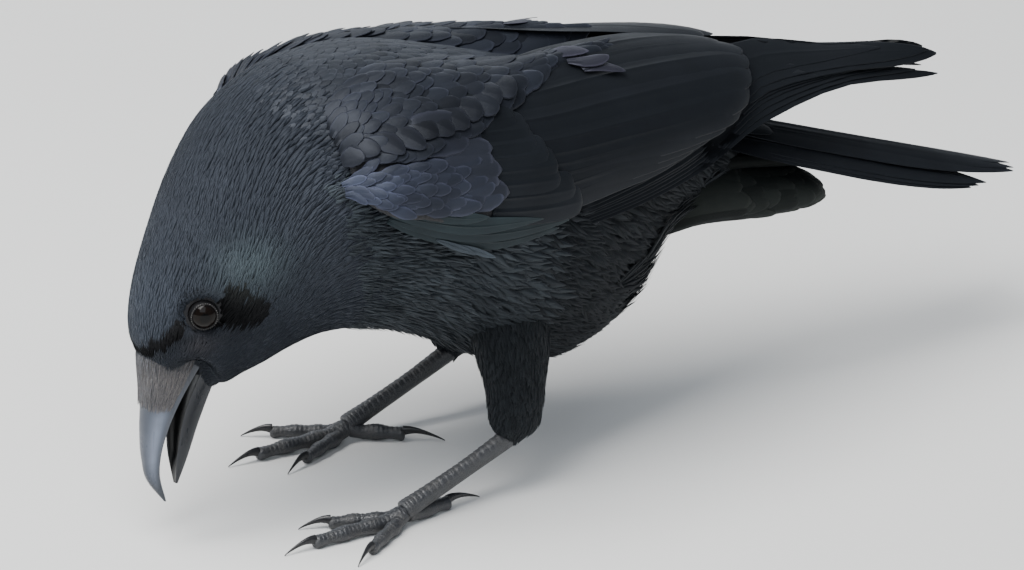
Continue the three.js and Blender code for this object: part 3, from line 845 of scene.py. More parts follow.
@dataclass(frozen=True)
class Tract:
    """A stretch of coat whose feathers are rooted in staggered rows.

    Attributes:
        surface: What it grows on.
        span: First parameter where the rows start and end.
        band: Second parameter where each row starts and ends.
        shape: Kind of feather.
        row_gap: Distance between rows, in millimetres, by the first parameter.
        gap: Distance between roots in a row, by both parameters.
        length: Length of a feather, by both parameters.
        width: Width of a feather, by both parameters.
        depth: How deep the roots lie under the surface.
        lift: How far the tips stand over the surface.
        turn: Angle off the surface's flow, by both parameters.
        scatter: Largest random turn, in radians.
        spread: How much the feathers' tones differ.
    """

    surface: Surface
    span: tuple[float, float]
    band: tuple[float, float]
    shape: VaneShape
    row_gap: Rule
    gap: Rule
    length: Rule
    width: Rule
    depth: float = 1.5
    lift: float = 0.2
    turn: Rule = level(0.0)
    scatter: float = 0.08
    spread: float = 0.15

    def roots(self, rng: np.random.Generator, keep: Keep | None) -> tuple[Array, Array]:
        """Places the roots.

        Args:
            rng: Source of their unevenness.
            keep: Says which roots stay, from their places in millimetres.

        Returns:
            Both parameters of each root.
        """
        start, end = self.span
        way = np.linspace(start, end, 400)
        middle = sum(self.band) / 2
        probe = self.surface.at(way, np.full_like(way, middle))
        other = self.surface.at(way, np.full_like(way, self.band[0]))
        steps = [np.linalg.norm(np.diff(line, axis=0), axis=1) for line in (probe, other)]
        step = np.maximum(*steps)
        count = np.concatenate([[0], np.cumsum(step / self.row_gap((way[1:] + way[:-1]) / 2))])
        places = np.interp(np.arange(int(count[-1]) + 1), count, way)
        found_a, found_b = [], []
        for i, place in enumerate(places):
            b = np.linspace(*self.band, 240)
            points = self.surface.at(np.full_like(b, place), b)
            near = (b[1:] + b[:-1]) / 2
            gap = self.gap(np.full_like(near, place), near)
            tally = np.concatenate([[0], np.cumsum(np.linalg.norm(np.diff(points, axis=0), axis=1) / gap)])
            spots = np.arange(0.25 + 0.5 * (i % 2), tally[-1], 1.0)
            spots = spots + rng.uniform(-0.2, 0.2, len(spots))
            found_b.append(np.interp(spots, tally, b))
            drift = (places[min(i + 1, len(places) - 1)] - places[max(i - 1, 0)]) / 2
            found_a.append(place + drift * rng.uniform(-0.22, 0.22, len(spots)))
        a, b = np.concatenate(found_a), np.concatenate(found_b)
        if keep is not None:
            chosen = keep(self.surface.at(a, b))
            a, b = a[chosen], b[chosen]
        return a, b

    def grow(
        self,
        store: MeshStore,
        rng: np.random.Generator,
        keep: Keep | None = None,
        side: Side = Side.LEFT,
        tint: Colour = (1, 1, 1),
    ) -> int:
        """Grows the tract's feathers.

        Args:
            store: Takes the feathers.
            rng: Source of everything random.
            keep: Says which roots stay.
            side: Right mirrors the tract.
            tint: Colour factors of the whole tract.

        Returns:
            How many feathers there are.
        """
        a, b = self.roots(rng, keep)
        count = len(a)
        if not count:
            return 0
        length = self.length(a, b) * rng.uniform(0.88, 1.12, count)
        half = self.width(a, b) * rng.uniform(0.9, 1.1, count) / 2
        turn = self.turn(a, b) + rng.uniform(-1, 1, count) * self.scatter
        curl = rng.uniform(-1, 1, count) * self.scatter
        routes = route_from(self.surface, (a, b), turn, length, self.shape, curl)
        rise = np.array(self.shape.at)[None, :] ** 0.8
        tip = self.lift * rng.uniform(0.4, 1.6, count)
        heights = -self.depth + (self.depth + tip)[:, None] * rise
        tone = (1 + self.spread * rng.standard_normal(count)).clip(0.5, 1.9)[:, None] * np.array(tint)
        self.shape.loft(store, self.surface, routes, (half, half), heights, tone, rng, side)
        return count


@dataclass(frozen=True)
class Fluff:
    """Turns a tract's roots into frayed clusters: several blades that fan out from one root.

    Attributes:
        tract: Where the clusters grow, and how large they are.
        blades: How many blades a cluster has.
        fan: Angle of the outermost blades off the middle, in radians.
    """

    tract: Tract
    blades: int = 7
    fan: float = 0.5

    def grow(self, store: MeshStore, rng: np.random.Generator, keep: Keep | None = None,
             side: Side = Side.LEFT) -> int:
        """Grows the clusters.

        Args:
            store: Takes the blades.
            rng: Source of everything random.
            keep: Says which roots stay.
            side: Right mirrors the clusters.

        Returns:
            How many blades there are.
        """
        tract = self.tract
        a, b = tract.roots(rng, keep)
        count = len(a)
        if not count:
            return 0
        length = tract.length(a, b) * rng.uniform(0.8, 1.2, count)
        width = tract.width(a, b)
        turn = tract.turn(a, b) + rng.uniform(-1, 1, count) * tract.scatter
        tone = (1 + tract.spread * rng.standard_normal(count)).clip(0.5, 1.8)
        tip = tract.lift * rng.uniform(0.2, 1.8, count)
        for place in np.linspace(-1, 1, self.blades):
            fan = self.fan * place
            reach = length * (1 - 0.28 * place * place) * rng.uniform(0.85, 1.1, count)
            half = width / self.blades * rng.uniform(0.9, 1.3, count)
            curl = -0.5 * fan + rng.uniform(-0.2, 0.2, count)
            angle = turn + fan + rng.uniform(-0.06, 0.06, count)
            routes = route_from(tract.surface, (a, b), angle, reach, BLADE, curl)
            rise = np.array(BLADE.at)[None, :] ** 0.9
            high = tip * rng.uniform(0.7, 1.2, count) - 0.5 * place * place
            heights = -tract.depth + (tract.depth + high)[:, None] * rise
            shade = (tone * rng.uniform(0.85, 1.15, count))[:, None] * np.ones(3)
            BLADE.loft(store, tract.surface, routes, (half, half), heights, shade, rng, side)
        return count * self.blades


# ------------------------------------------------------------------ finishes
class Shader:
    """Small helpers for building a material's nodes."""

    def __init__(self, name: str) -> None:
        """Starts a material with an empty tree and one principled surface.

        Args:
            name: The material's name.
        """
        self.material = bpy.data.materials.new(name)
        self.material.use_nodes = True
        self.tree = self.material.node_tree
        self.tree.nodes.clear()
        self.surface = self.tree.nodes.new("ShaderNodeBsdfPrincipled")
        output = self.tree.nodes.new("ShaderNodeOutputMaterial")
        self.link(self.surface.outputs["BSDF"], output.inputs["Surface"])

    def node(self, kind: str, **settings: object) -> bpy.types.Node:
        """Adds a node and sets its own settings."""
        made = self.tree.nodes.new(kind)
        for key, value in settings.items():
            setattr(made, key, value)
        return made

    def link(self, source: Socket, target: Socket) -> None:
        """Joins two sockets."""
        self.tree.links.new(source, target)

    def set(self, **values: object) -> None:
        """Sets the principled surface's own sockets, with _ for each space in a socket's name."""
        for key, value in values.items():
            self.surface.inputs[key.replace("_", " ")].default_value = value

    def maths(self, operation: str, first: object, second: object = None) -> Socket:
        """Adds a maths node on two values, each a socket or a number."""
        made = self.node("ShaderNodeMath", operation=operation)
        for i, value in enumerate((first, second)):
            if isinstance(value, Socket):
                self.link(value, made.inputs[i])
            elif value is not None:
                made.inputs[i].default_value = value
        return made.outputs[0]

    def mix(self, share: object, first: object, second: object, blend: str = "MIX") -> Socket:
        """Mixes two colours, each a socket or a colour, by a share that is a socket or a number."""
        made = self.node("ShaderNodeMix", data_type="RGBA", blend_type=blend)
        for index, value in ((0, share), (6, first), (7, second)):
            if isinstance(value, Socket):
                self.link(value, made.inputs[index])
            elif index == 0:
                made.inputs[index].default_value = value
            else:
                made.inputs[index].default_value = (*value, 1.0)
        return made.outputs[2]

    def noise(self, scale: float, detail: float = 3.0, source: Socket | None = None) -> Socket:
        """Adds noise on object coordinates, or on those given."""
        made = self.node("ShaderNodeTexNoise")
        made.inputs["Scale"].default_value = scale
        made.inputs["Detail"].default_value = detail
        self.link(self.place() if source is None else source, made.inputs["Vector"])
        return made.outputs["Fac"]

    def spread(self, value: Socket, low: float, high: float, to: tuple[float, float]) -> Socket:
        """Turns a range of values softly into another."""
        made = self.node("ShaderNodeMapRange", interpolation_type="SMOOTHSTEP")
        self.link(value, made.inputs["Value"])
        for index, number in zip((1, 2, 3, 4), (low, high, *to)):
            made.inputs[index].default_value = number
        return made.outputs["Result"]

    def read(self, name: str, output: str = "Fac") -> Socket:
        """Reads an attribute of the mesh."""
        return self.node("ShaderNodeAttribute", attribute_name=name).outputs[output]

    def place(self) -> Socket:
        """Reads object coordinates."""
        return self.node("ShaderNodeTexCoord").outputs["Object"]

    def fleck(self, mask: Socket, colour: object, base: Colour, factor: float) -> Socket:
        """Mixes a darker or lighter share of a base colour in by a mask."""
        return self.mix(mask, colour, tuple(c * factor for c in base))

    def paint(self, colour: Socket, rough: Socket | None = None) -> None:
        """Gives the surface its colour and roughness."""
        self.link(colour, self.surface.inputs["Base Color"])
        if rough is not None:
            self.link(rough, self.surface.inputs["Roughness"])

    def bump(self, height: Socket, strength: float, distance: float) -> None:
        """Adds a bump to the surface."""
        made = self.node("ShaderNodeBump")
        made.inputs["Strength"].default_value = strength
        made.inputs["Distance"].default_value = distance
        self.link(height, made.inputs["Height"])
        self.link(made.outputs["Normal"], self.surface.inputs["Normal"])


@dataclass(frozen=True)
class PlumeFinish:
    """Black feather: barbs that slant off the shaft, tones by feather, softer edges made paler by a painted
    sheen.

    Attributes:
        name: The material's name.
        base: Colour of the vane.
        edge: Colour at its edges, a painted sheen.
        edge_share: How strongly the edges take their colour.
        rough: Least and greatest roughness.
        gloss: Specular level.
        tint: Colour of the gloss.
        sheen: Weight of the velvet sheen.
        sheen_tint: Its colour.
        barb: Distance between barbs, in millimetres.
        relief: Strength of the barbs' bump.
    """

    name: str
    base: Colour
    edge: Colour
    edge_share: float = 0.5
    rough: tuple[float, float] = (0.42, 0.58)
    gloss: float = 0.55
    tint: Colour = (0.8, 0.86, 1.0)
    sheen: float = 0.15
    sheen_tint: Colour = (0.6, 0.68, 0.85)
    barb: float = 0.5
    relief: float = 0.25

    def make(self) -> Material:
        """Builds the material."""
        s = Shader(self.name)
        tone = s.read("Tone", "Color")
        margin = s.read("Margin")
        parts = s.node("ShaderNodeSeparateXYZ")
        s.link(s.node("ShaderNodeUVMap", uv_map="Vane").outputs["UV"], parts.inputs[0])
        across = s.maths("ABSOLUTE", parts.outputs["X"])
        slant = s.maths("SUBTRACT", parts.outputs["Y"], s.maths("MULTIPLY", across, 1.1))
        cloud = s.noise(55.0, 4.0)
        barbs = s.maths("SINE", s.maths("ADD", s.maths("MULTIPLY", slant, 2 * pi / self.barb),
                                        s.maths("MULTIPLY", cloud, 9.0)))
        fine = s.spread(barbs, -1.0, 1.0, (0.0, 1.0))
        # Painted sheen: edges and tips take the paler edge colour.
        edge = s.spread(margin, 0.55, 1.0, (0.0, self.edge_share))
        colour = s.mix(edge, self.base, self.edge)
        colour = s.mix(1.0, colour, tone, "MULTIPLY")
        colour = s.fleck(s.spread(cloud, 0.3, 0.7, (0.0, 0.35)), colour, self.base, 0.55)
        colour = s.fleck(s.maths("MULTIPLY", fine, 0.3), colour, self.base, 0.4)
        mixed = s.maths("ADD", s.maths("MULTIPLY", fine, 0.35), cloud)
        s.paint(colour, s.spread(mixed, 0.3, 1.1, self.rough))
        s.set(Specular_IOR_Level=self.gloss, Specular_Tint=(*self.tint, 1.0), Sheen_Weight=self.sheen,
              Sheen_Roughness=0.4, Sheen_Tint=(*self.sheen_tint, 1.0))
        s.bump(fine, self.relief, 0.0002)
        return s.material


@dataclass(frozen=True)
class SkinFinish:
    """Dark skin under the coat, with its markings and the painted light and shade among them.

    Attributes:
        name: The material's name.
        base: Its colour.
    """

    name: str = "crow_skin"
    base: Colour = (0.009, 0.009, 0.011)

    def make(self) -> Material:
        """Builds the material."""
        s = Shader(self.name)
        tone = s.read("Tone", "Color")
        grain = s.noise(900.0, 4.0)
        colour = s.mix(1.0, self.base, tone, "MULTIPLY")
        colour = s.fleck(s.spread(grain, 0.35, 0.7, (0.0, 0.6)), colour, self.base, 1.8)
        s.paint(colour, s.spread(grain, 0.3, 0.7, (0.65, 0.85)))
        s.bump(grain, 0.5, 0.0004)
        return s.material


@dataclass(frozen=True)
class HornFinish:
    """Horn of bill and claws: slate black, scratched along its length, paler at cutting edges.

    Attributes:
        name: The material's name.
        base: Its colour.
        worn: Colour of its worn edges.
        rough: Least and greatest roughness.
        coat: Weight of the gloss coat.
    """

    name: str
    base: Colour
    worn: Colour
    rough: tuple[float, float] = (0.25, 0.42)
    coat: float = 0.25

    def make(self) -> Material:
        """Builds the material."""
        s = Shader(self.name)
        along = s.node("ShaderNodeMapping")
        along.inputs["Rotation"].default_value = (BILL_TILT, 0, 0)
        along.inputs["Scale"].default_value = (1.0, 1.0, 0.08)
        s.link(s.place(), along.inputs["Vector"])
        streaks = s.noise(700.0, 4.0, along.outputs["Vector"])
        cloud = s.noise(90.0, 3.0)
        tone = s.read("Tone", "Color")
        margin = s.read("Margin")
        colour = s.fleck(s.spread(cloud, 0.35, 0.7, (0.0, 0.5)), self.base, self.base, 0.6)
        colour = s.fleck(s.spread(streaks, 0.5, 0.75, (0.0, 0.15)), colour, self.base, 1.5)
        colour = s.mix(s.maths("MULTIPLY", margin, 0.8), colour, self.worn)
        colour = s.mix(1.0, colour, tone, "MULTIPLY")
        s.paint(colour, s.spread(s.maths("ADD", streaks, cloud), 0.7, 1.3, self.rough))
        s.set(Specular_IOR_Level=0.3, Coat_Weight=self.coat, Coat_Roughness=0.18)
        s.bump(streaks, 0.08, 0.0003)
        return s.material


@dataclass(frozen=True)
class ScuteFinish:
    """Scaly black skin of legs and toes, with paler dust in its creases.

    Attributes:
        name: The material's name.
        base: Its colour.
        dust: Colour between the scales.
    """

    name: str = "crow_scutes"
    base: Colour = (0.03, 0.032, 0.037)
    dust: Colour = (0.11, 0.105, 0.1)

    def make(self) -> Material:
        """Builds the material."""
        s = Shader(self.name)
        margin = s.read("Margin")
        cells = s.node("ShaderNodeTexVoronoi", feature="DISTANCE_TO_EDGE")
        cells.inputs["Scale"].default_value = 950.0
        s.link(s.place(), cells.inputs["Vector"])
        crack = s.spread(cells.outputs["Distance"], 0.0, 0.16, (1.0, 0.0))
        cloud = s.noise(160.0, 4.0)
        patches = s.spread(cloud, 0.42, 0.68, (0.1, 1.0))
        dusty = s.maths("MULTIPLY", patches, s.maths("MAXIMUM", margin, crack))
        colour = s.mix(s.maths("MULTIPLY", dusty, 0.75), self.base, self.dust)
        colour = s.fleck(s.spread(cloud, 0.3, 0.7, (0.0, 0.4)), colour, self.base, 0.5)
        s.paint(colour, s.spread(cloud, 0.3, 0.7, (0.3, 0.55)))
        s.set(Specular_IOR_Level=0.6)
        s.bump(s.maths("SUBTRACT", 1.0, crack), 0.35, 0.0003)
        return s.material


@dataclass(frozen=True)
class EyeFinish:
    """A wet dark brown eye: black pupil, brown iris, dark rim, and a faint sharp gloss over all.

    Attributes:
        name: The material's name.
        pupil: Angle of the pupil's edge off the eye's axis, in degrees.
        iris: Angle of the iris's edge.
    """

    name: str = "crow_eye"
    pupil: float = 19.0
    iris: float = 47.0

    def make(self) -> Material:
        """Builds the material."""
        s = Shader(self.name)
        angle = s.read("Margin")
        grain = s.noise(1400.0, 3.0)
        brown = s.mix(s.spread(grain, 0.3, 0.7, (0.0, 1.0)), (0.006, 0.0036, 0.0026), (0.003, 0.002, 0.0015))
        iris = s.spread(angle, self.pupil - 1.5, self.pupil + 1.5, (0.0, 1.0))
        rim = s.spread(angle, self.iris - 6, self.iris, (0.0, 1.0))
        colour = s.mix(iris, (0.002, 0.002, 0.002), brown)
        colour = s.mix(rim, colour, (0.004, 0.003, 0.003))
        s.paint(colour, s.spread(grain, 0.3, 0.7, (0.03, 0.06)))
        s.set(Specular_IOR_Level=0.15)
        return s.material


@dataclass(frozen=True)
class LidFinish:
    """Bare skin of the eyelid's rim.

    Attributes:
        name: The material's name.
        base: Its colour.
        pale: Colour of its raised spots.
    """

    name: str = "crow_eyelid"
    base: Colour = (0.007, 0.007, 0.008)
    pale: Colour = (0.14, 0.135, 0.13)

    def make(self) -> Material:
        """Builds the material."""
        s = Shader(self.name)
        margin = s.read("Margin")
        grain = s.noise(1500.0, 3.0)
        colour = s.mix(margin, self.base, self.pale)
        colour = s.fleck(s.spread(grain, 0.4, 0.7, (0.0, 0.5)), colour, self.base, 0.5)
        s.paint(colour, s.spread(grain, 0.3, 0.7, (0.4, 0.6)))
        s.set(Specular_IOR_Level=0.15)
        s.bump(grain, 0.4, 0.0002)
        return s.material


@dataclass(frozen=True)
class FloorFinish:
    """Matt pale floor.

    Attributes:
        name: The material's name.
        base: Its colour.
    """

    name: str = "studio_floor"
    base: Colour = (0.72, 0.72, 0.71)

    def make(self) -> Material:
        """Builds the material."""
        s = Shader(self.name)
        cloud = s.noise(3.0, 2.0)
        s.paint(s.fleck(s.spread(cloud, 0.3, 0.7, (0.0, 1.0)), self.base, self.base, 0.97))
        s.set(Roughness=0.9, Specular_IOR_Level=0.2)
        return s.material


# ------------------------------------------------------------------ the bird's forms
BODY_FORM = BodySurface()
WING_FORM = WingSurface()
CAPE_FORM = CapeSurface(BODY_FORM, WING_FORM)
PAD_FORM = BristleSurface()
UNDERTAIL_FORM = LevelSurface(
    [(56, 88), (78, 88), (104, 82), (128, 77), (142, 72)], [24, 25, 23, 18, 7], [18, 14, 10.5, 7.5, 2.5]
)
UPPERTAIL_FORM = LevelSurface([(62, 118), (90, 106), (120, 98), (150, 90)], [24, 22, 17, 8], [12, 9, 6, 2])
DEEP_VENT_FORM = LevelSurface([(60, 101), (90, 99), (120, 92), (152, 84)], [20, 18, 15, 10], [9, 6, 4, 2])
TAIL_FORM = TailSurface()
PRIMARY_FORM = RuledSurface(
    [(53, -14, 108.5), (49.5, 22, 112.5), (42.5, 56, 117), (31, 90, 125), (17.5, 142, 125), (8, 196, 110.5)],
    [(50, -8, 115), (44, 26, 121), (35, 60, 127), (17.5, 95, 133.5), (8.5, 145, 127.5), (5, 195, 117.5)],
)
ALULA_FORM = RuledSurface(
    [(54, -92, 129), (56.5, -80, 121), (59, -60, 112.5), (59, -42, 106.5), (57, -17, 107)],
    [(53.5, -94, 134.5), (58, -80, 129.5), (60.5, -60, 123), (60.5, -40, 120), (58, -12, 117)],
)


@dataclass(frozen=True)
class Foot:
    """Where one leg stands.

    Attributes:
        side: Which side it is on.
        heel: The heel joint, in millimetres.
        ankle: Where the toes meet.
        yaw: How far the middle toe points outwards, in degrees.
        hind: The hind toe's angle from the middle toe.
    """

    side: Side
    heel: tuple[float, float, float]
    ankle: tuple[float, float, float]
    yaw: float
    hind: float


@dataclass(frozen=True)
class Toe:
    """One toe's sizes.

    Attributes:
        name: Its word in the names of nodes.
        angle: Angle outwards from the middle toe in degrees, or None for the hind toe.
        length: Length without the claw, in millimetres.
        radius: Radius at the root.
        claw: Length of its claw.
    """

    name: str
    angle: float | None
    length: float
    radius: float
    claw: float


FEET = (
    Foot(Side.LEFT, (41.5, -20, 28.5), (41, -76, 6), -2, 190),
    Foot(Side.RIGHT, (-38, 6, 28.5), (-37, -51, 6), 3, 214),
)
TOES = (
    Toe("inner", -26, 27, 2.9, 11), Toe("middle", 0, 38, 3.1, 12),
    Toe("outer", 34, 28, 2.8, 11), Toe("hind", None, 21, 3.2, 15),
)


SHANK_LENGTH = 60.0


def thigh_form(foot: Foot) -> LimbSurface:
    """Makes a leg's feathered thigh and shin."""
    line = np.array([(-13, -2, 50), (-1.5, -6, 22), (0, -6.5, 5), (0, -8, -5.5)], float)
    line[:, 0] *= foot.side.value
    return LimbSurface(line + foot.heel, [13, 13, 10.5, 9, 7, 3], [18, 16, 12.3, 11.5, 9.8, 3.5])


def tarsus_form(foot: Foot) -> LimbSurface:
    """Makes a leg's bare shank."""
    heel, ankle = np.array(foot.heel, float), np.array(foot.ankle, float)
    middle = (heel + ankle) / 2 - (0, 0, 0.6)
    return LimbSurface([heel, middle, ankle], [3.6, 2.8, 2.6, 2.9, 3.9], [4.2, 3.9, 3.5, 3.6, 3.8])


class ToeSurface(TubeSurface):
    """A toe along the floor in knuckled joints, from its root and round from its top."""

    def __init__(self, foot: Foot, toe: Toe) -> None:
        """Takes the leg and the toe's sizes."""
        angle = radians(foot.side.value * ((foot.hind if toe.angle is None else toe.angle) + foot.yaw))
        self.way = np.array([sin(angle), -cos(angle), 0.0])
        self.across = np.array([-self.way[1], self.way[0], 0.0])
        self.root = np.array([foot.ankle[0], foot.ankle[1], 4.8]) + self.way * 1.2
        self.toe = toe
        self.knuckles = 2 if toe.angle is None else 3

    def at(self, a: Array, b: Array) -> Array:
        """Gives points of the toe's skin."""
        a, b = alike(a, b)
        radius = self.toe.radius
        resting = radius * 0.78
        line = self.root[2] + (resting - self.root[2]) * np.clip(a * 4, 0, 1)
        swell = 1 + 0.1 * np.cos(2 * pi * self.knuckles * a)
        end = np.sqrt(np.clip(1 - (np.clip(a - 0.93, 0, 0.07) / 0.075) ** 2, 0, 1))
        thick = radius * (1 - 0.25 * a) * swell * (0.35 + 0.65 * end)
        height = line + 0.7 * np.sin(pi * a) + thick * np.cos(b)
        spot = self.root + self.way * (a * self.toe.length)[..., None]
        spot = spot + self.across * (thick * np.sin(b))[..., None]
        return np.concatenate([spot[..., :2], np.maximum(height, 0.02)[..., None]], -1)


class ClawSurface(TubeSurface):
    """A claw that arches from the toe's end down to the floor."""

    def __init__(self, form: ToeSurface) -> None:
        """Takes the toe it grows from."""
        self.form = form
        self.start = form.root + form.way * (form.toe.length + 0.3 - 1.1)
        self.rise = 3.6 if form.toe.angle is None else 3.2

    def at(self, a: Array, b: Array) -> Array:
        """Gives points of the claw's face."""
        a, b = alike(a, b)
        radius = 2.1 + (0.22 - 2.1) * np.clip(a, 0, 1) ** 0.9
        bend = np.sin(pi * a)
        height = self.rise * np.maximum(np.cos(pi / 2 * a), 0) ** 0.8 + 0.9 * bend + 0.3 + radius * np.cos(b)
        ahead = (self.form.toe.claw + 1.1) * (a - 0.1 * bend)
        spot = self.start + self.form.way * ahead[..., None]
        spot = spot + self.form.across * (radius * 0.72 * np.sin(b))[..., None]
        return np.concatenate([spot[..., :2], height[..., None]], -1)


def add_tube(
    store: MeshStore, surface: Surface, along: Array, sides: int, inset: float | Array = 0.0,
    flip: bool = False,
) -> None:
    """Adds a surface that closes on itself as a tube with capped ends.

    Args:
        store: Takes the tube.
        surface: Its outline, closed in the second parameter.
        along: Places of its rings.
        sides: Points round each ring.
        inset: How far inside the outline it lies, for all rings or for each.
        flip: True where the outline's parameters run inside out.
    """
    b = np.linspace(-pi, pi, sides, endpoint=False)
    aa, bb = np.meshgrid(along, b, indexing="ij")
    _, _, normal = surface.tangents(aa, bb)
    depth = np.broadcast_to(np.asarray(inset, float), (len(along),))[:, None, None]
    points = surface.at(aa, bb) - normal * depth
    store.add_plain(points, np.zeros_like(aa), flip)


# ------------------------------------------------------------------ pieces
@dataclass
class Skin:
    """One closed skin under the whole coat.

    Attributes:
        voxel: Size of the cells it is remade from, in millimetres.
        finish: What it is painted with.
    """

    voxel: float = 1.5
    finish: SkinFinish = SkinFinish()

    def build(self) -> Thing:
        """Joins the body, thighs, wing beds, brow pad and undertail, and remakes them as one skin.

        Returns:
            The skin.
        """
        store = MeshStore()
        along = np.linspace(0, 1, 140)
        depth = profile((0, 2.2), (0.55, 2.1), (0.7, 1.6), (0.8, 1.2), (0.9, 0.8), (0.97, 0.8), (1, 1.6))
        add_tube(store, BODY_FORM, along, 96, depth(along))
        add_tube(store, PAD_FORM, np.linspace(-8, 15, 24), 40, 0.9)
        add_tube(store, UNDERTAIL_FORM, np.linspace(0, 0.93, 40), 48, 2.2, flip=True)
        for foot in FEET:
            add_tube(store, thigh_form(foot), np.linspace(0, 0.97, 40), 36, 1.6)
            self._add_wing_bed(store, foot.side)
        rough = store.object("crow_skin", self.finish.make(), coat=False)
        remesh = rough.modifiers.new("One skin", "REMESH")
        remesh.mode = "VOXEL"
        remesh.voxel_size = self.voxel * MM
        relax = rough.modifiers.new("Even out", "SMOOTH")
        relax.factor = 0.5
        relax.iterations = 4
        mesh = bpy.data.meshes.new_from_object(rough.evaluated_get(bpy.context.evaluated_depsgraph_get()))
        rough.modifiers.clear()
        rough.data = mesh
        return rough

    def _add_wing_bed(self, store: MeshStore, side: Side) -> None:
        """Adds the flesh of a folded wing under its coverts."""
        a = np.linspace(-101.5, 44, 60)
        b = np.linspace(0.06, 0.98, 24)
        over = profile((-103, 2), (-40, 2), (-15, 4.5), (44, 6))
        under = profile((-103, 3), (-80, 9), (-18, 9), (44, 3))
        rows = []
        for depth, order in ((over(a), b), (over(a) + under(a), b[::-1])):
            aa, bb = np.meshgrid(a, order, indexing="ij")
            _, _, normal = WING_FORM.tangents(aa, bb)
            rows.append(WING_FORM.at(aa, bb) - normal * depth[:, None, None])
        points = np.concatenate(rows, 1)
        if side is Side.RIGHT:
            points = points * (-1, 1, 1)
        store.add_plain(points, np.zeros(points.shape[:2]), side is Side.RIGHT)

    def dress(self, skin: Thing) -> None:
        """Gives the skin its markings with their painted light and shade, and its place in the part."""
        mesh = skin.data
        place = np.empty(len(mesh.vertices) * 3)
        mesh.vertices.foreach_get("co", place)
        for name in [layer.name for layer in mesh.attributes if layer.name in ("Tone", "Margin")]:
            mesh.attributes.remove(mesh.attributes[name])
        add_tone(mesh, tones_at(place.reshape(-1, 3) / MM - SHIFT))
        mesh.shade_smooth()
        flesh = ["head", "neck", "trunk", "hind_body"]
        flesh += [f"{side.label}_{name}" for side in Side for name in ("thigh", "wing_coverts")]
        settle(skin, "plumage", *flesh)


def settle(piece: Thing, slot: str, *nodes: str) -> Thing:
    """Ties a finished piece to the part.

    Args:
        piece: The piece.
        slot: The name of its material slot; not used.
        *nodes: Nodes of the solid model that it stands for.

    Returns:
        The piece.
    """
    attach(piece, BODY)
    if nodes:
        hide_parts(*nodes)
    LOG.info("%s: %d faces", piece.name, len(piece.data.polygons))
    return piece


def blend(upper: Callable[[Array], Array], lower: Callable[[Array], Array]) -> Rule:
    """Makes a rule that passes from one profile on the back to another on the belly."""

    def rule(a: Array, b: Array) -> Array:
        """Gives the value at both parameters."""
        share = (1 - np.cos(b)) / 2
        return upper(a) * (1 - share) + lower(a) * share

    return rule


def mingle(points: Array, none: float, full: float) -> Array:
    """Thins roots at random between two lines round the lower neck.

    Args:
        points: The roots, in millimetres.
        none: Place along the body where none are left.
        full: Place where all stay.

    Returns:
        True for each root that stays.
    """
    place = points[..., 1] + 0.31 * (points[..., 2] - 70)
    chance = np.abs(np.sin(points @ np.array([12.99, 78.23, 37.72])) * 43758.5) % 1
    return chance < np.clip((place - none) / (full - none), 0, 1)


def clear_of_wings(points: Array) -> Array:
    """Says which places on the body aren't hidden under a folded wing."""
    y, z = points[..., 1], points[..., 2]
    low, top = WING_FORM.low_z(y), WING_FORM.top_z(y)
    return ~((y > -90) & (y < 82) & (z > low + 7) & (z < top - 7))


LENGTH = blend(
    profile((0, 24), (0.15, 22), (0.31, 24), (0.46, 18), (0.54, 14), (0.62, 11), (0.69, 10), (0.77, 8),
            (0.85, 6), (0.92, 4.2), (1, 3)),
    profile((0, 26), (0.15, 24), (0.31, 20), (0.46, 16), (0.54, 14), (0.62, 12), (0.69, 11), (0.77, 9),
            (0.85, 7), (0.92, 5), (1, 3.5)),
)
WIDTH = blend(
    profile((0, 13), (0.15, 12), (0.31, 12.5), (0.46, 9.5), (0.54, 6), (0.62, 2.6), (0.69, 1.8), (0.77, 1.4),
            (0.85, 1.15), (0.92, 1), (1, 0.8)),
    profile((0, 11), (0.15, 10), (0.31, 9), (0.46, 7), (0.54, 5), (0.62, 2.6), (0.69, 1.9), (0.77, 1.5),
            (0.85, 1.2), (0.92, 1), (1, 0.8)),
)


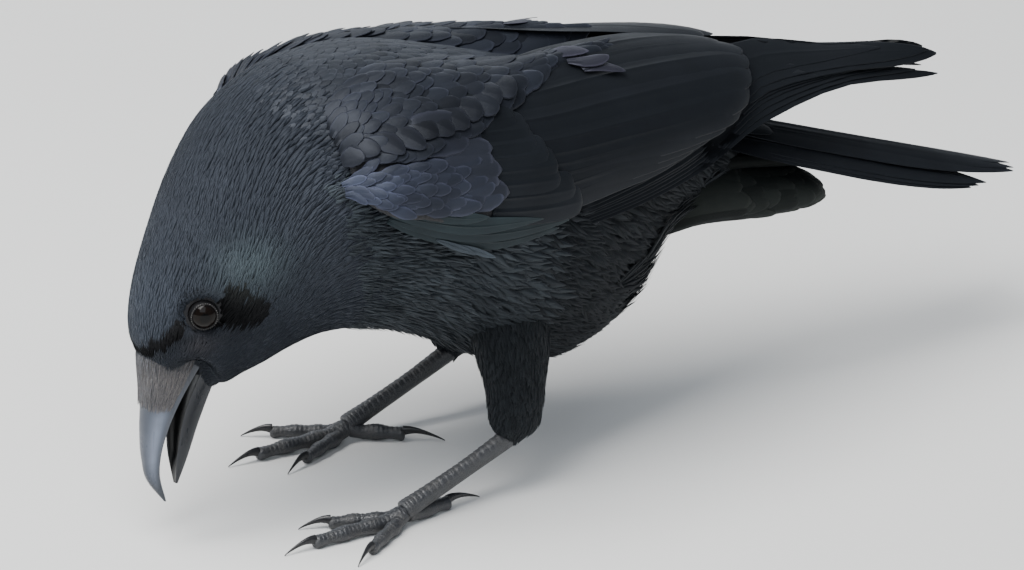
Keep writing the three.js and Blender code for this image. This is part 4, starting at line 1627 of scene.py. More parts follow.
@dataclass
class HeadCoat:
    """Hair-like feathers of head and neck, and the bristles over the nostrils.

    Attributes:
        finish: What the feathers are painted with.
        shade: Finish of the feathers in the face's painted shadows, a darker and duller copy of the head's
            finish.
        bristle: What the bristles are painted with.
        eye_clear: Radius round the eye that stays bare, in millimetres.
        seed: Seed of everything random.
    """

    finish: PlumeFinish = PlumeFinish("crow_head_plumes", (0.022, 0.026, 0.034), (0.03, 0.035, 0.044), 0.5,
                                      rough=(0.5, 0.62), gloss=0.17, sheen=0.04, barb=0.35, relief=0.06)
    # Painted shade: the same feathers as the head's, darker and duller.
    shade: PlumeFinish = PlumeFinish("crow_face_plumes", (0.012, 0.012, 0.013), (0.016, 0.016, 0.017), 0.5,
                                     rough=(0.7, 0.8), gloss=0.04, sheen=0.0, barb=0.35, relief=0.06)
    bristle: PlumeFinish = PlumeFinish("crow_bristles", (0.06, 0.055, 0.052), (0.26, 0.23, 0.21), 0.8,
                                       rough=(0.35, 0.5), barb=0.3, relief=0.1)
    eye_clear: float = 6.0
    seed: int = 11

    def _round_eye(self, a: Array, b: Array) -> tuple[Array, Array, Array]:
        """Measures where places on the body lie from the nearer eye.

        Args:
            a: First parameter.
            b: Second parameter.

        Returns:
            Distance from it, and how far behind and beside it along the lie of the feathers.
        """
        points = BODY_FORM.at(a, b)
        eye = np.stack([np.sign(points[..., 0]) * 20.5, 0 * a + LID_CENTRE[0], 0 * a + LID_CENTRE[1]], -1)
        ta, _, normal = BODY_FORM.tangents(a, b)
        along = -unit(ta)
        sideways = np.cross(normal, along)
        off = points - eye
        behind, beside = dot(off, along), dot(off, sideways)
        return np.hypot(behind, beside), behind, beside

    def _turn(self, a: Array, b: Array) -> Array:
        """Turns the feathers ahead of an eye so that they part round it."""
        far, behind, beside = self._round_eye(a, b)
        share = np.exp(-np.clip(far - 5, 0, None) / 3.5) * smooth(3, -2, behind)
        parted = share * np.where(beside < 0, -1.0, 1.0) * np.minimum(1.1, 5 / (np.abs(beside) + 2.5))
        return parted + 0.3 * np.sin(b) * smooth(0.95, 0.8, a)

    def _length(self, a: Array, b: Array) -> Array:
        """Shortens the feathers that would lie over an eye."""
        far, behind, beside = self._round_eye(a, b)
        room = np.where(behind < 0, np.maximum(far - self.eye_clear + 1.2, 0.9), 99)
        room = np.where(np.abs(beside) > self.eye_clear + 3, 99, room)
        return np.minimum(1.3 * LENGTH(a, b), room)

    def _on_neck(self, points: Array) -> Array:
        """Says which roots of the neck stay: clear of the wings, few by the mantle and breast."""
        return clear_of_wings(points) & mingle(points, -60, -84)

    def _clear_of_eyes(self, points: Array) -> Array:
        """Says which places on the head lie clear of the lids."""
        return np.hypot(points[..., 1] - LID_CENTRE[0], points[..., 2] - LID_CENTRE[1]) > self.eye_clear

    def build(self) -> list[Thing]:
        """Grows the feathers.

        Returns:
            The coats of head and neck, and the bristles.
        """
        rng = np.random.default_rng(self.seed)
        head, hollow, neck, pad = (MeshStore() for _ in range(4))
        fine = Tract(
            BODY_FORM, (0.765, 1.0), (-pi, pi), BLADE,
            profile((0.76, 1.7), (0.85, 1.4), (0.92, 1.15), (1, 0.9)),
            share_of(WIDTH, 0.6), self._length, share_of(WIDTH, 0.9),
            depth=0.7, lift=0.06, turn=self._turn, scatter=0.09, spread=0.13,
        )
        # Roots in the painted shadows go to their own store, painted with the shaded copy of the finish.
        for store, shadowed in ((head, False), (hollow, True)):
            tract = replace(fine, lift=0.0, depth=0.9) if shadowed else fine
            same = np.random.default_rng(self.seed)
            tract.grow(store, same, lambda p, d=shadowed: self._clear_of_eyes(p) & (in_shade(p) == d))
        hackle = Tract(
            BODY_FORM, (0.52, 0.775), (-pi, pi), BLADE,
            profile((0.54, 3.2), (0.62, 2.4), (0.7, 2), (0.78, 1.7)),
            share_of(WIDTH, 0.55, 3.0), LENGTH, share_of(WIDTH, 0.9, 3.0),
            depth=0.7, lift=0.05, scatter=0.07, spread=0.08,
            turn=lambda a, b: 0.55 * np.sin(b) * smooth(0.52, 0.68, a) * smooth(0.95, 0.7, a),
        )
        # The neck's roots in the painted shadows join that store too.
        for store, shadowed in ((neck, False), (hollow, True)):
            tract = replace(hackle, lift=0.0, depth=0.9) if shadowed else hackle
            same = np.random.default_rng(self.seed)
            tract.grow(store, same, lambda p, d=shadowed: self._on_neck(p) & (in_shade(p) == d))
        over_nose = Tract(
            PAD_FORM, (-7.0, 12.0), (-2.7, 2.7), BLADE, level(1.0), level(0.7),
            lambda a, b: np.clip(21.5 - a, 8, 16) * (1 - 0.06 * np.abs(b)), level(0.5), depth=0.4,
            lift=0.15, scatter=0.14, spread=0.5,
        )
        over_nose.grow(pad, rng)
        for band in ((0.85, 2.9), (-2.9, -0.85)):
            round_mouth = Tract(
                BODY_FORM, (0.955, 0.999), band, BLADE, level(0.9), level(0.7),
                level(3.6), level(0.4), depth=0.5, lift=0.5, scatter=0.45, spread=0.2,
                turn=level(pi),
            )
            round_mouth.grow(head, rng)
        skin_tone = self.finish.make()
        return [
            head.object("crow_head_coat", skin_tone),
            hollow.object("crow_face_coat", self.shade.make()),
            neck.object("crow_neck_coat", skin_tone),
            pad.object("crow_nasal_bristles", self.bristle.make()),
        ]

    def dress(self, pieces: list[Thing]) -> None:
        """Ties the coats to the part."""
        for piece in pieces:
            settle(piece, "plumage")


@dataclass
class BodyCoat:
    """Scaly mantle, frayed belly, rump, tail coverts and thighs.

    Attributes:
        back: Finish of the back's scales.
        down: Finish of the belly's frayed feathers.
        chest: Finish of the breast's.
        under: Finish of the coverts under the tail.
        quill: Finish of the coverts over the tail.
        seed: Seed of everything random.
    """

    back: PlumeFinish = PlumeFinish("crow_mantle", (0.013, 0.0155, 0.0205), (0.034, 0.038, 0.049), 0.8,
                                    rough=(0.42, 0.56), gloss=0.32, sheen=0.04)
    down: PlumeFinish = PlumeFinish("crow_down", (0.013, 0.0155, 0.0175), (0.022, 0.025, 0.028), 0.6,
                                    rough=(0.6, 0.75), gloss=0.13, sheen=0.02, barb=0.4, relief=0.15)
    chest: PlumeFinish = PlumeFinish("crow_breast", (0.034, 0.041, 0.047), (0.045, 0.053, 0.06), 0.6,
                                     rough=(0.55, 0.7), gloss=0.15, sheen=0.03, barb=0.4, relief=0.12)
    under: PlumeFinish = PlumeFinish("crow_undertail", (0.02, 0.023, 0.021), (0.034, 0.037, 0.032), 0.6,
                                     rough=(0.6, 0.75), gloss=0.07, sheen=0.02)
    quill: PlumeFinish = PlumeFinish("crow_uppertail", (0.009, 0.0105, 0.0125), (0.013, 0.015, 0.018), 0.4,
                                     rough=(0.45, 0.6), gloss=0.12, sheen=0.01, barb=0.55, relief=0.12)
    seed: int = 23

    def _on_belly(self, points: Array) -> Array:
        """Says which roots of the breast and belly stay: clear of the wings, few by the neck."""
        return clear_of_wings(points) & mingle(points, -112, -86)

    def _on_back(self, points: Array) -> Array:
        """Says which roots of the mantle stay: between the wings, off the rump's sides, few by the neck."""
        middle = (points[..., 1] < 30) | (np.abs(points[..., 0]) < 12)
        return clear_of_wings(points) & middle & mingle(points, -97, -74)

    def build(self) -> list[Thing]:
        """Grows the feathers.

        Returns:
            One piece for each region.
        """
        rng = np.random.default_rng(self.seed)
        gap = profile((0, 7.5), (0.31, 6), (0.46, 4.4), (0.54, 3.4), (0.62, 2.6))
        names = ("mantle", "breast", "belly", "thighs", "uppertail", "undertail")
        stores = {name: MeshStore() for name in names}
        mantle = Tract(
            BODY_FORM, (0.02, 0.615), (-1.35, 1.35), SCALE, gap, share_of(WIDTH, 0.48),
            share_of(LENGTH, 0.9), share_of(WIDTH, 0.85), depth=1.4, lift=0.12, scatter=0.1,
            spread=0.22,
        )
        mantle.grow(stores["mantle"], rng, self._on_back)
        for name, span, blades in (("belly", (0.0, 0.38), 7), ("breast", (0.38, 0.6), 5)):
            low = Tract(
                BODY_FORM, span, (1.1, 2 * pi - 1.1), BLADE,
                profile((0, 6), (0.31, 5), (0.46, 4.4), (0.6, 3.4)), share_of(WIDTH, 0.6), LENGTH, WIDTH,
                depth=1.6, lift=0.9, scatter=0.16, spread=0.25,
                turn=lambda a, b: -0.75 * np.sin(b) * smooth(0.0, 0.1, a) * smooth(0.42, 0.28, a),
            )
            Fluff(low, blades=blades, fan=0.4).grow(stores[name], rng, self._on_belly)
        wisp = Tract(
            BODY_FORM, (0.05, 0.3), (1.9, 2 * pi - 1.9), BLADE, level(9), level(8),
            level(22), level(7), depth=0.5, lift=2.2, scatter=0.25, spread=0.25,
        )
        Fluff(wisp, blades=6, fan=0.5).grow(stores["belly"], rng)
        for foot in FEET:
            leg = Tract(
                thigh_form(foot), (0.1, 0.93), (-pi, pi), BLADE, level(3.0), level(2.4),
                lambda a, b: 11 - 5 * a, lambda a, b: 5 - 2 * a,
                depth=1.1, lift=0.2, scatter=0.14, spread=0.15,
            )
            Fluff(leg, blades=4, fan=0.3).grow(stores["thighs"], rng)
        spot = np.array([-0.4, 0.4, 0.0])
        QuillRow(
            UPPERTAIL_FORM, columns(0.02, spot), columns(0.66 - 0.16 * np.abs(spot), spot),
            7.0, 7.0, -0.9, -0.2,
        ).lay(stores["uppertail"], QUILL, rng, Side.LEFT, (1.0, 1.05, 1.1))
        vent = Tract(
            UNDERTAIL_FORM, (0.02, 0.72), (0.0, 2 * pi), SCALE, level(9), level(8),
            lambda a, b: 30 - 6 * a, level(14), depth=1.8, lift=0.6, scatter=0.14, spread=0.25,
        )
        vent.grow(stores["undertail"], rng)
        # The deep undertail quills are darkened to a sixth as painted shade under the tail.
        spot = np.linspace(-1.15, 1.15, 7)
        QuillRow(
            DEEP_VENT_FORM, columns(0.0, spot), columns(1 - 0.06 * np.abs(spot), spot), 7.0, 7.0, -0.5,
            np.linspace(0.2, 0.8, 7),
        ).lay(stores["undertail"], QUILL, rng, Side.LEFT, (0.16, 0.17, 0.16))
        back, down, under = self.back.make(), self.down.make(), self.under.make()
        breast, rump = self.chest.make(), self.quill.make()
        finishes = {"mantle": back, "breast": breast, "uppertail": rump, "undertail": under}
        return [stores[name].object(f"crow_{name}_coat", finishes.get(name, down)) for name in names]

    def dress(self, pieces: list[Thing]) -> None:
        """Ties the coats to the part."""
        for piece in pieces:
            nodes = ["undertail_coverts"] if "undertail" in piece.name else []
            settle(piece, "plumage", *nodes)


@dataclass(frozen=True)
class QuillRow:
    """A row of long feathers laid out one by one.

    Attributes:
        surface: What they lie on.
        roots: Both parameters of each root.
        tips: Both parameters of each tip.
        low: Half width on the lower or outer side of the shaft, in millimetres.
        high: Half width on the other side.
        root_height: Height of each root over the surface.
        tip_height: Height of each tip over the surface.
        bow: How far the middles stand to one side, in the second parameter.
    """

    surface: Surface
    roots: Array
    tips: Array
    low: Array
    high: Array
    root_height: Array
    tip_height: Array
    bow: Array | float = 0.0

    def lay(
        self, store: MeshStore, shape: VaneShape, rng: np.random.Generator, side: Side, tint: Colour,
        spread: float = 0.08,
    ) -> None:
        """Lays the feathers.

        Args:
            store: Takes them.
            shape: Their outline.
            rng: Source of the small differences.
            side: Right mirrors them.
            tint: Colour factors of the row.
            spread: How much their tones differ.
        """
        roots, tips = np.asarray(self.roots, float), np.asarray(self.tips, float)
        t = np.array(shape.at)[None, :]
        a = roots[:, :1] + (tips[:, :1] - roots[:, :1]) * t
        b = roots[:, 1:] + (tips[:, 1:] - roots[:, 1:]) * t + np.reshape(self.bow, (-1, 1)) * 4 * t * (1 - t)
        rise = np.reshape(self.root_height, (-1, 1))
        heights = rise + (np.reshape(self.tip_height, (-1, 1)) - rise) * t
        tone = (1 + spread * rng.standard_normal(len(roots)))[:, None] * np.array(tint)
        low, high = (np.broadcast_to(np.asarray(v, float), (len(roots),)) for v in (self.low, self.high))
        shape.loft(store, self.surface, (a, b), (low, high), heights, tone, rng, side)


@dataclass
class WingPlumes:
    """The feathers of one folded wing.

    Attributes:
        side: Which wing.
        coverts: Finish of the small feathers.
        flight: Finish of the long ones.
        seed: Seed of everything random.
    """

    side: Side
    coverts: PlumeFinish
    flight: PlumeFinish
    seed: int = 37

    def build(self) -> dict[str, Thing]:
        """Lays the wing's feathers.

        Returns:
            The pieces by the words of their names.
        """
        rng = np.random.default_rng(self.seed + self.side.value)
        small, wrist, inner, outer = (MeshStore() for _ in range(4))
        self._lay_coverts(small, rng)
        self._lay_wrist(wrist, rng)
        self._lay_inner(inner, rng)
        self._lay_primaries(outer, rng)
        coverts, flight = self.coverts.make(), self.flight.make()
        label = self.side.label
        return {
            "coverts": small.object(f"{label}_wing_covert_feathers", coverts),
            "alula": wrist.object(f"{label}_wing_alula_feathers", flight),
            "secondaries": inner.object(f"{label}_wing_secondary_quills", flight),
            "primaries": outer.object(f"{label}_wing_primary_quills", flight),
        }

    def _below_cape(self, points: Array) -> Array:
        """Says which places on the wing lie below the scapulars."""
        low, top = WING_FORM.low_z(points[..., 1]), WING_FORM.top_z(points[..., 1])
        return points[..., 2] < low + (0.68 + 0.12 * smooth(-94, -103, points[..., 1])) * (top - low)

    def _lay_coverts(self, store: MeshStore, rng: np.random.Generator) -> None:
        """Lays the greater, median and lesser coverts, and the scapulars over them."""
        v = np.linspace(0.27, 0.76, 8)
        count = len(v)
        tips = np.linspace(-42, -54, count) + rng.uniform(-4, 4, count)
        QuillRow(
            WING_FORM, columns(tips - 26, v + 0.04), columns(tips, v - 0.02), 5.5, 6.5,
            np.linspace(-0.9, 0.0, count), np.linspace(0.4, 1.1, count),
        ).lay(store, SCALE, rng, self.side, (1.9, 1.95, 2.2), 0.15)
        lesser = Tract(
            WING_FORM, (-105, -64), (0.16, 0.82), SCALE, profile((-105, 2.2), (-90, 3.2), (-64, 4.6)),
            ramp((-105, -64), (2.2, 4.4)), ramp((-105, -64), (9, 19)),
            ramp((-105, -64), (3.6, 7.6)), depth=0.9, lift=0.6, scatter=0.14, spread=0.22,
            turn=lambda a, b: 0.5 * (b - 0.35) + 0.25 * smooth(-80, -64, a),
        )
        # The lesser coverts' pale lilac tint is a painted highlight round the wrist.
        lesser.grow(store, rng, self._below_cape, self.side, (2.2, 2.35, 2.8))
        scapulars = Tract(
            CAPE_FORM, (-102, 16), (0.05, 0.97), SCALE, profile((-102, 3.6), (-80, 4.6), (30, 5.6)),
            ramp((-102, -80), (3.8, 4.8)), ramp((-102, -80, 30), (11, 15, 27)),
            ramp((-102, -80, 30), (5.6, 7.8, 11.5)), depth=1.2, lift=1.1, scatter=0.1, spread=0.24,
            turn=level(-0.15),
        )
        scapulars.grow(store, rng, None, self.side, (1.1, 1.2, 1.35))
        place = np.array([-99, -93, -86, -80, -71, -65, -57, -50, -42, -36, -29])
        place = place + rng.uniform(-1.5, 1.5, 11)
        reach = rng.uniform(0.93, 1.01, 11)
        QuillRow(
            CAPE_FORM, columns(place - 4, 0.74), columns(place + rng.uniform(2, 7, 11), reach),
            np.linspace(3.6, 6.5, 11), np.linspace(4.2, 7.5, 11), 0.3, np.linspace(1.8, 2.8, 11),
        ).lay(store, SCALE, rng, self.side, (0.9, 0.95, 1.05), 0.2)
        QuillRow(
            WING_FORM, [(4, 1.0), (9, 0.93), (13, 0.84)], [(21, 0.94), (27, 0.86), (30, 0.72)],
            [3.4, 3.2, 2.6], [4.0, 3.4, 3.0], [0.4, 0.6, 0.5], [2.2, 2.8, 1.8], [0.02, -0.03, 0.03],
        ).lay(store, SCALE, rng, self.side, (1.7, 1.55, 1.8), 0.3)

    def _lay_wrist(self, store: MeshStore, rng: np.random.Generator) -> None:
        """Lays the alula and the primary coverts under the wing's lower edge."""
        # The alula's pale greenish tint is a painted highlight.
        QuillRow(
            ALULA_FORM, [(0.06, 0.3), (0.08, 0.6), (0.1, 0.95), (0.12, 1.3)],
            [(0.97, 0.42), (1.0, 0.72), (0.86, 1.02), (0.6, 1.4)], [3.4, 3.6, 3.6, 3.0], [3.8, 4.2, 3.8, 3.0],
            [-2.2, -1.4, -0.6, 0.0], [-1.2, 0.0, 1.0, 1.6], 0.05,
        ).lay(store, LEAF, rng, self.side, (2.2, 2.9, 2.7), 0.12)
        QuillRow(
            ALULA_FORM, [(0.36, 0.2), (0.46, 0.18)], [(0.56, 0.0), (0.68, 0.02)], 1.3, 1.3, [-1.5, -1.2],
            [0.2, 0.6],
        ).lay(store, LEAF, rng, self.side, (8.0, 8.5, 8.5), 0.1)

    def _lay_inner(self, store: MeshStore, rng: np.random.Generator) -> None:
        """Lays secondaries and tertials, the upper ones over the lower."""
        tips = np.array([(48, 0.1), (57, 0.11), (66, 0.12), (74, 0.13), (82, 0.16), (89, 0.24), (94, 0.42),
                         (97, 0.64), (98, 0.86), (90, 1.0)])
        drop = np.array([0.05, 0.12, 0.2, 0.26, 0.3, 0.3, 0.26, 0.2, 0.1, -0.02])
        count = len(tips)
        roots = columns(np.linspace(-44, -34, count), tips[:, 1] + drop)
        QuillRow(
            WING_FORM, roots, tips, np.interp(tips[:, 1], [0, 0.3, 1], [5.5, 8.5, 10]),
            np.interp(tips[:, 1], [0, 0.3, 1], [9, 10, 7.5]), np.linspace(-3.4, -1.6, count),
            np.linspace(-3.4, 0.5, count), 0.015,
        ).lay(store, QUILL, rng, self.side, (0.95, 0.95, 1.0), 0.06)
        v = np.linspace(0.12, 0.8, 9)
        count = len(v)
        tips = np.interp(v, [0, 0.6, 1], [-6, -26, -30]) + rng.uniform(-3, 3, count)
        QuillRow(
            WING_FORM, columns(tips - 42, v + 0.02), columns(tips, v - 0.03), 5.5, 8.0,
            np.linspace(-1.6, -0.6, count), np.linspace(-0.9, 0.5, count),
        ).lay(store, QUILL, rng, self.side, (1.1, 1.12, 1.17), 0.1)

    def _lay_primaries(self, store: MeshStore, rng: np.random.Generator) -> None:
        """Lays the primaries, the upper ones over the lower."""
        k = np.array([0.0, 0.24, 0.46, 0.7, 0.88, 1.0, 1.2, 1.45])
        short = np.array([0.0, 0.06, 0.1, 0.1, 0.05, 0.0, 0.03, 0.12])
        count = len(k)
        QuillRow(
            PRIMARY_FORM, columns(0.02, k), columns(1 - short, k),
            np.interp(k, [0, 1], [4.4, 9.0]), np.interp(k, [0, 0.88, 1.0, 1.45], [4.8, 9.0, 11.0, 9.0]),
            np.linspace(-3.4, -0.2, count), np.linspace(-3.0, 0.6, count),
        ).lay(store, POINTED, rng, self.side, (0.8, 0.8, 0.82), 0.06)

    def dress(self, pieces: dict[str, Thing]) -> None:
        """Ties the feathers to the part."""
        label = self.side.label
        settle(pieces["coverts"], "plumage")
        for name in ("alula", "secondaries", "primaries"):
            settle(pieces[name], "vanes", f"{label}_wing_{name}")


@dataclass
class TailPlumes:
    """The folded tail: twelve quills under each other.

    Attributes:
        finish: What they are painted with.
        seed: Seed of everything random.
    """

    finish: PlumeFinish
    seed: int = 41

    def build(self) -> Thing:
        """Lays the quills.

        Returns:
            The tail.
        """
        rng = np.random.default_rng(self.seed)
        store = MeshStore()
        pair = np.repeat((3.1, 2.75, 2.35, 0.75, 0.4, 0.05), 2)
        spot = np.where(np.arange(len(pair)) % 2 == 0, 1, -1) * pair
        inner = np.where(pair > 2, 8.5, 9.5)
        outer = np.where(pair > 2, 7.0, 9.0)
        low = np.where(spot > 0, outer, inner)
        high = np.where(spot > 0, inner, outer)
        QuillRow(
            TAIL_FORM, columns(0.1, spot), columns(0.998 - 0.02 * (pair > 2), spot), low, high,
            0.1 - 0.5 * pair, 0.5 - 1.2 * pair,
        ).lay(store, POINTED, rng, Side.LEFT, (1.0, 1.0, 1.05), 0.06)
        return store.object("crow_tail_quills", self.finish.make())

    def dress(self, tail: Thing) -> None:
        """Ties the tail to the part."""
        settle(tail, "vanes", "tail")


@dataclass
class Bill:
    """Both halves of the bill: thin shells with sharp cutting edges, hollow towards each other.

    Attributes:
        sides: Points round each ring.
        rings: Rings along each half.
        finish: What they are painted with.
    """

    sides: int = 56
    rings: int = 90
    finish: HornFinish = HornFinish("crow_bill", (0.06, 0.066, 0.08), (0.13, 0.135, 0.15), coat=0.12)

    culmen = staticmethod(
        profile((-6, 21), (6, 20.3), (19, 18.1), (32, 15.5), (42, 12.5), (50, 8.5), (57.6, -0.6))
    )
    upper_edge = staticmethod(
        profile((-6, -0.5), (5, 3.9), (16, 7.2), (29, 8.9), (38, 8.4), (46, 6.2), (57.6, -1.4))
    )
    lower_edge = staticmethod(profile((-6, -0.9), (7, 1.6), (20, 3), (30, 2), (39, 0.2), (50.3, -3.6)))
    keel = staticmethod(profile((-6, -13.5), (11, -9.6), (25, -7.6), (42, -6.1), (50.3, -5)))
    upper_half = staticmethod(profile((-6, 9.4), (10, 8.3), (24, 6.8), (38, 4.9), (50, 2.6), (57.6, 0.5)))
    lower_half = staticmethod(profile((-6, 8.8), (10, 7.8), (24, 5.9), (38, 3.7), (50.3, 0.8)))

    def build(self) -> list[Thing]:
        """Makes both halves.

        Returns:
            The upper and the lower half.
        """
        horn = self.finish.make()
        made = []
        turn = np.linspace(-pi, pi, self.sides, endpoint=False)
        for name, length, edge, back, half in (
            ("upper", 57.6, self.upper_edge, self.culmen, self.upper_half),
            ("lower", 50.3, self.lower_edge, self.keel, self.lower_half),
        ):
            ahead = -6 + (length + 6) * np.linspace(0, 1, self.rings) ** 0.9
            aa, bb = np.meshgrid(ahead, turn, indexing="ij")
            x, y = np.sin(bb), np.cos(bb)
            rise = back(aa) - edge(aa)
            hollow = 0.45 * rise * smooth(1.0, 0.75, aa / length)
            outer = np.sign(x) * np.abs(x) ** (0.82 if name == "upper" else 0.9)
            crown = np.where(y > 0, edge(aa) + y * rise, edge(aa) - y * hollow)
            wide = np.where(y > 0, outer, x * 0.92)
            points = head_point(half(aa) * wide, aa, crown)
            margin = np.exp(-((y / 0.1) ** 2)) * (y > -0.3)
            inside = smooth(0.0, -0.3, y)
            # Painted light in the tone: a broad highlight along the upper half's side for the sky's
            # reflection, the lower half painted in shade, the inner faces of both darker as painted shade,
            # all tinted bluish.
            sky_highlight = np.exp(-(((y - 0.55) / 0.33) ** 2)) * smooth(4, 16, aa) * smooth(56, 40, aa)
            painted_light = (0.6 + 2.4 * sky_highlight if name == "upper" else 0.25 + 0 * aa) * (1 - 0.9 * inside)
            tone = painted_light[..., None] * np.array((0.95, 1.0, 1.08))
            store = MeshStore()
            store.add_plain(points, margin, name == "lower", tone)
            made.append(store.object(f"crow_{name}_bill", horn, sharp=50, coat=False))
        return made

    def dress(self, pieces: list[Thing]) -> None:
        """Ties the bill to the part."""
        for piece, node in zip(pieces, ("upper_bill", "lower_bill")):
            settle(piece, "bill", node)


class NodeTree:
    """Small helpers for building a Geometry Nodes tree with named inputs."""

    def __init__(self, name: str) -> None:
        """Starts an empty tree that takes and gives a geometry."""
        self.tree = bpy.data.node_groups.new(name, "GeometryNodeTree")
        self.tree.is_modifier = True
        self.tree.interface.new_socket("Geometry", in_out="INPUT", socket_type="NodeSocketGeometry")
        self.tree.interface.new_socket("Geometry", in_out="OUTPUT", socket_type="NodeSocketGeometry")
        self.start = self.tree.nodes.new("NodeGroupInput")
        self.end = self.tree.nodes.new("NodeGroupOutput")

    def value(self, name: str, kind: str = "NodeSocketFloat") -> Socket:
        """Adds a named input and gives its socket inside the tree."""
        self.tree.interface.new_socket(name, in_out="INPUT", socket_type=kind)
        return self.start.outputs[name]

    def add(self, kind: str, settings: dict[str, object] | None = None, **sockets: object) -> bpy.types.Node:
        """Adds a node, sets its own settings, and joins or sets its inputs by name.

        Args:
            kind: The node's type.
            settings: Its own settings.
            **sockets: Inputs by name with _ for a space, or i and a number; each a socket or a value.

        Returns:
            The node.
        """
        node = self.tree.nodes.new(kind)
        for key, value in (settings or {}).items():
            setattr(node, key, value)
        for key, value in sockets.items():
            numbered = key[0] == "i" and key[1:].isdigit()
            target = node.inputs[int(key[1:]) if numbered else key.replace("_", " ")]
            if isinstance(value, Socket):
                self.tree.links.new(value, target)
            else:
                target.default_value = value
        return node

    def maths(self, operation: str, first: object, second: object = None) -> Socket:
        """Adds a maths node on one or two values."""
        sockets = {"i0": first} if second is None else {"i0": first, "i1": second}
        return self.add("ShaderNodeMath", {"operation": operation}, **sockets).outputs[0]

    def read(self, name: str) -> Socket:
        """Reads a number that the mesh holds."""
        return self.add("GeometryNodeInputNamedAttribute", {"data_type": "FLOAT"}, Name=name).outputs[0]

    def finish(self, geometry: Socket, material: Socket) -> None:
        """Ends the tree: instances made real, and painted."""
        real = self.add("GeometryNodeRealizeInstances", Geometry=geometry)
        painted = self.add("GeometryNodeSetMaterial", Geometry=real.outputs[0], Material=material)
        self.tree.links.new(painted.outputs[0], self.end.inputs[0])

    def apply(self, target: Thing, **values: object) -> Thing:
        """Runs the tree on an object and keeps what it makes.

        Args:
            target: The object whose mesh the tree starts from.
            **values: Inputs by name, with _ for a space.

        Returns:
            The same object, holding the made mesh.
        """
        modifier = target.modifiers.new(self.tree.name, "NODES")
        modifier.node_group = self.tree
        for item in self.tree.interface.items_tree:
            key = item.name.replace(" ", "_")
            if item.item_type == "SOCKET" and item.in_out == "INPUT" and key in values:
                modifier[item.identifier] = values[key]
        target.data.update()
        evaluated = target.evaluated_get(bpy.context.evaluated_depsgraph_get())
        made = bpy.data.meshes.new_from_object(evaluated)
        target.modifiers.clear()
        target.data = made
        return target


def scute_tree() -> NodeTree:
    """Builds the tree that raises overlapping scales along a limb.

    Returns:
        A tree with the inputs Pitch, Relief and Material; it reads the attributes Along and Front.
    """
    t = NodeTree("Scutes along a limb")
    pitch, relief, material = t.value("Pitch"), t.value("Relief"), t.value("Material", "NodeSocketMaterial")
    front = t.read("Front")
    share = t.maths("FRACT", t.maths("DIVIDE", t.read("Along"), pitch))
    rise = t.maths("MULTIPLY", t.maths("MULTIPLY", t.maths("POWER", share, 0.6), relief), front)
    normal = t.add("GeometryNodeInputNormal").outputs[0]
    offset = t.add("ShaderNodeVectorMath", {"operation": "SCALE"}, i0=normal, Scale=rise).outputs[0]
    moved = t.add("GeometryNodeSetPosition", Geometry=t.start.outputs[0], Offset=offset).outputs[0]
    groove = t.add("ShaderNodeMapRange", {"interpolation_type": "SMOOTHSTEP"}, Value=share, i1=0.0, i2=0.22,
                   i3=1.0, i4=0.0).outputs[0]
    groove = t.maths("MULTIPLY", groove, front)
    stored = t.add("GeometryNodeStoreNamedAttribute", {"data_type": "FLOAT", "domain": "POINT"},
                   Geometry=moved, Name="Margin", Value=groove).outputs[0]
    t.finish(stored, material)
    return t


def bead_tree() -> NodeTree:
    """Builds the tree that sets small beads along a ring.

    Returns:
        A tree with the inputs Beads, Radius, Seed and Material.
    """
    t = NodeTree("Beads along a ring")
    beads, radius = t.value("Beads", "NodeSocketInt"), t.value("Radius")
    seed, material = t.value("Seed", "NodeSocketInt"), t.value("Material", "NodeSocketMaterial")
    curve = t.add("GeometryNodeMeshToCurve", Mesh=t.start.outputs[0]).outputs[0]
    even = t.add("GeometryNodeResampleCurve", Curve=curve, Count=beads).outputs[0]
    bead = t.add("GeometryNodeMeshUVSphere", Segments=12, Rings=8, Radius=radius).outputs[0]
    size = t.add("FunctionNodeRandomValue", {"data_type": "FLOAT"}, i2=0.8, i3=1.2, Seed=seed)
    placed = t.add("GeometryNodeInstanceOnPoints", Points=even, Instance=bead).outputs[0]
    scaled = t.add("GeometryNodeScaleInstances", Instances=placed, Scale=size.outputs[1]).outputs[0]
    stored = t.add("GeometryNodeSetShadeSmooth", Geometry=scaled).outputs[0]
    t.finish(stored, material)
    return t


